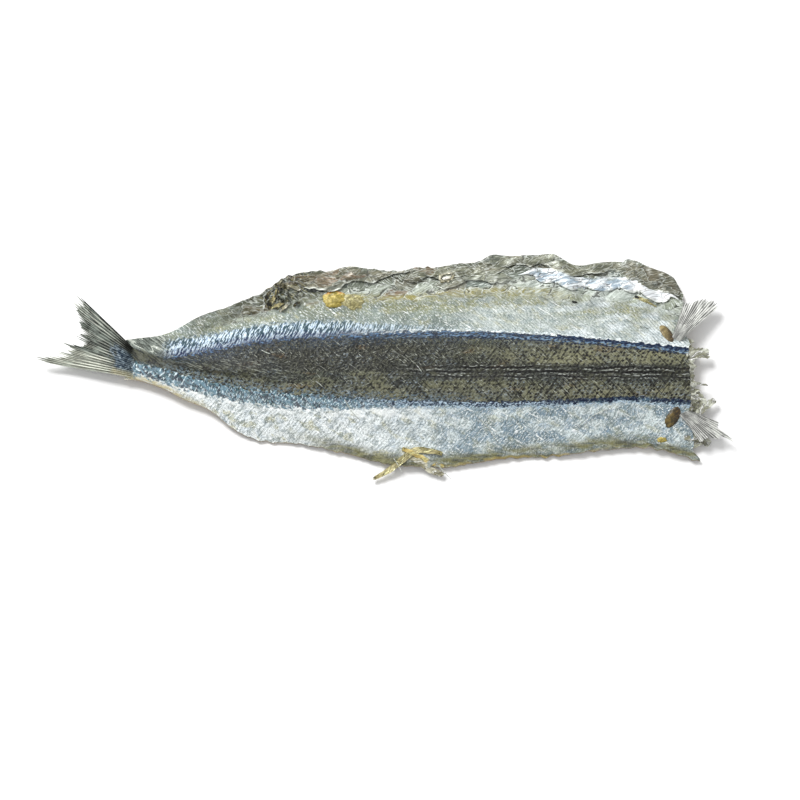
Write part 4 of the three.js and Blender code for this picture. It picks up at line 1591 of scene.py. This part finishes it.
def lump(name, centre, size, turn, rough, finish, seed):
    nothing_selected()
    bpy.ops.mesh.primitive_uv_sphere_add(segments=48, ring_count=24, radius=1, location=(0, 0, 0))
    piece = bpy.context.object
    piece.name = piece.data.name = name
    ball = places_of(piece)
    swell = 1 + rough * grain(ball[:, 0] * 2 + ball[:, 2] * 2, ball[:, 1] * 2, 1, seed)
    set_down(piece, ball * swell[:, None] * size, centre, turn, finish)


def puckered_ring(name, centre, radius, rim, flat, turn, finish, seed):
    """The wall drew together in a ring around a tear."""
    nothing_selected()
    bpy.ops.mesh.primitive_torus_add(
        major_radius=radius, minor_radius=rim, major_segments=64, minor_segments=12,
        location=(0, 0, 0),
    )  # fmt: skip
    piece = bpy.context.object
    piece.name = piece.data.name = name
    places = places_of(piece)
    swell = 1 + 0.4 * grain(places[:, 0], places[:, 1], 1.1, seed)
    set_down(piece, places * swell[:, None] * (1, flat, 1), centre, turn, finish)


far_pad_skin = lump_finish(
    "far_pad_skin", (124, 110, 74), (158, 144, 104), dark_end=(62, 46, 34), gritty=0.2
)
near_pad_skin = lump_finish(
    "near_pad_skin", (76, 68, 42), (134, 116, 66), dark_end=(66, 52, 34), gritty=0.25
)
dried_roe = lump_finish(
    "dried_roe", (150, 138, 68), (196, 180, 106), cap=(188, 140, 60), gritty=0.3
)
olive_smear = lump_finish("olive_smear", (146, 140, 98), (184, 179, 138))
# Painted shade: dark lumps stand for the shade inside a few holes and pockets in the skin.
painted_hole_shade = lump_finish("painted_hole_shade", (38, 42, 40), (62, 66, 60))
cream_curl = lump_finish("cream_curl", (206, 204, 192), (240, 240, 234), gritty=0.2)
white_fleck = lump_finish("white_fleck", (226, 232, 234), (252, 254, 254), gritty=0.1)

# name, place with its height above the skin, half sizes, turn in degrees, roughness, finish, seed
lump("far_fin_pad", (246.6, 19.6, -0.2), (5.0, 2.3, 0.8), -58, 0.05, far_pad_skin, 1)
lump("near_fin_pad", (248.0, -19.6, -0.2), (5.2, 2.8, 0.8), 58, 0.06, near_pad_skin, 2)
lump("roe", (94.8, 36.6, -0.1), (5.2, 4.4, 1.0), 10, 0.25, dried_roe, 3)
lump("roe_smear", (103, 35.2, -0.3), (6.0, 4.2, 0.8), -12, 0.3, olive_smear, 4)
lump("lobe_smear", (237.0, 35.4, -0.35), (6.0, 1.3, 0.5), -22, 0.5, olive_smear, 15)
# The dark lumps below are painted shade of holes and pockets.
lump("lobe_hole", (233.6, 37.4, 0.1), (1.1, 0.6, 0.4), -30, 0.4, painted_hole_shade, 16)
lump("roe_crumb", (243, -29.6, -0.1), (2.3, 1.3, 0.5), 15, 0.5, dried_roe, 5)
lump("wall_pocket", (87, 41.2, -0.3), (5.2, 1.5, 0.5), -8, 0.4, painted_hole_shade, 6)
lump("wall_hole", (169.5, 46.2, 0.0), (0.9, 0.5, 0.45), 20, 0.4, painted_hole_shade, 7)
lump("flank_hole", (204.8, 34.6, 0.0), (1.3, 0.5, 0.35), -10, 0.4, painted_hole_shade, 8)
lump("pale_curl", (146.4, 46.8, 1.2), (2.0, 0.9, 0.6), 8, 0.3, cream_curl, 9)
puckered_ring(
    "wall_ring", (146.4, 47.2, 1.1), radius=3.0, rim=0.6, flat=0.7, turn=6, finish=ribbed_strip,
    seed=12,
)  # fmt: skip
lump("white_speck_1", (177.4, -26.2, 0.0), (0.9, 0.6, 0.4), 20, 0.3, white_fleck, 13)
lump("white_speck_2", (203.4, -25.6, 0.0), (1.0, 0.7, 0.4), -10, 0.3, white_fleck, 14)

# %% [markdown]
# ## Camera, floor and light
#
# The fish is seen from above, 15 degrees off the vertical, on a plain white floor. The light is
# an even white surround with one large soft lamp from the far left, which gives the folds a
# shadow on their near side.

# %% Camera, floor and light
CAMERA_PLACE = (0.0071, -0.2375, 0.8293)
CAMERA_TILT = 15
FLOOR_GAP = 0.0005
SURROUND = 0.66

scene = bpy.context.scene
scene.view_settings.view_transform = "Standard"

camera = bpy.data.objects.new("camera", bpy.data.cameras.new("camera"))
camera.data.lens = 85
camera.data.sensor_width = 36
camera.location = CAMERA_PLACE
camera.rotation_euler = (math.radians(CAMERA_TILT), 0, 0)
scene.collection.objects.link(camera)
scene.camera = camera

nothing_selected()
bpy.ops.mesh.primitive_plane_add(size=4, location=(0, 0, -FLOOR_GAP))
floor = bpy.context.object
floor.name = "floor"
floor_paint, _, floor_shader = new_finish("white_floor")
floor_shader.inputs["Base Color"].default_value = (0.9, 0.9, 0.9, 1)
floor_shader.inputs["Roughness"].default_value = 0.9
floor.data.materials.append(floor_paint)

world = bpy.data.worlds.new("white_surround")
world.use_nodes = True
surround = world.node_tree.nodes["Background"]
surround.inputs["Color"].default_value = (1, 1, 1, 1)
surround.inputs["Strength"].default_value = SURROUND
scene.world = world


def soft_lamp(name, power, size, place, tilt):
    lamp = bpy.data.objects.new(name, bpy.data.lights.new(name, "AREA"))
    lamp.data.energy = power
    lamp.data.size = size
    lamp.location = place
    lamp.rotation_euler = [math.radians(angle) for angle in tilt]
    scene.collection.objects.link(lamp)


soft_lamp("far_lamp", power=19, size=0.5, place=(-0.5, 0.7, 0.9), tilt=(-42, -22, 0))
print("camera at", CAMERA_PLACE, "tilted", CAMERA_TILT, "degrees")
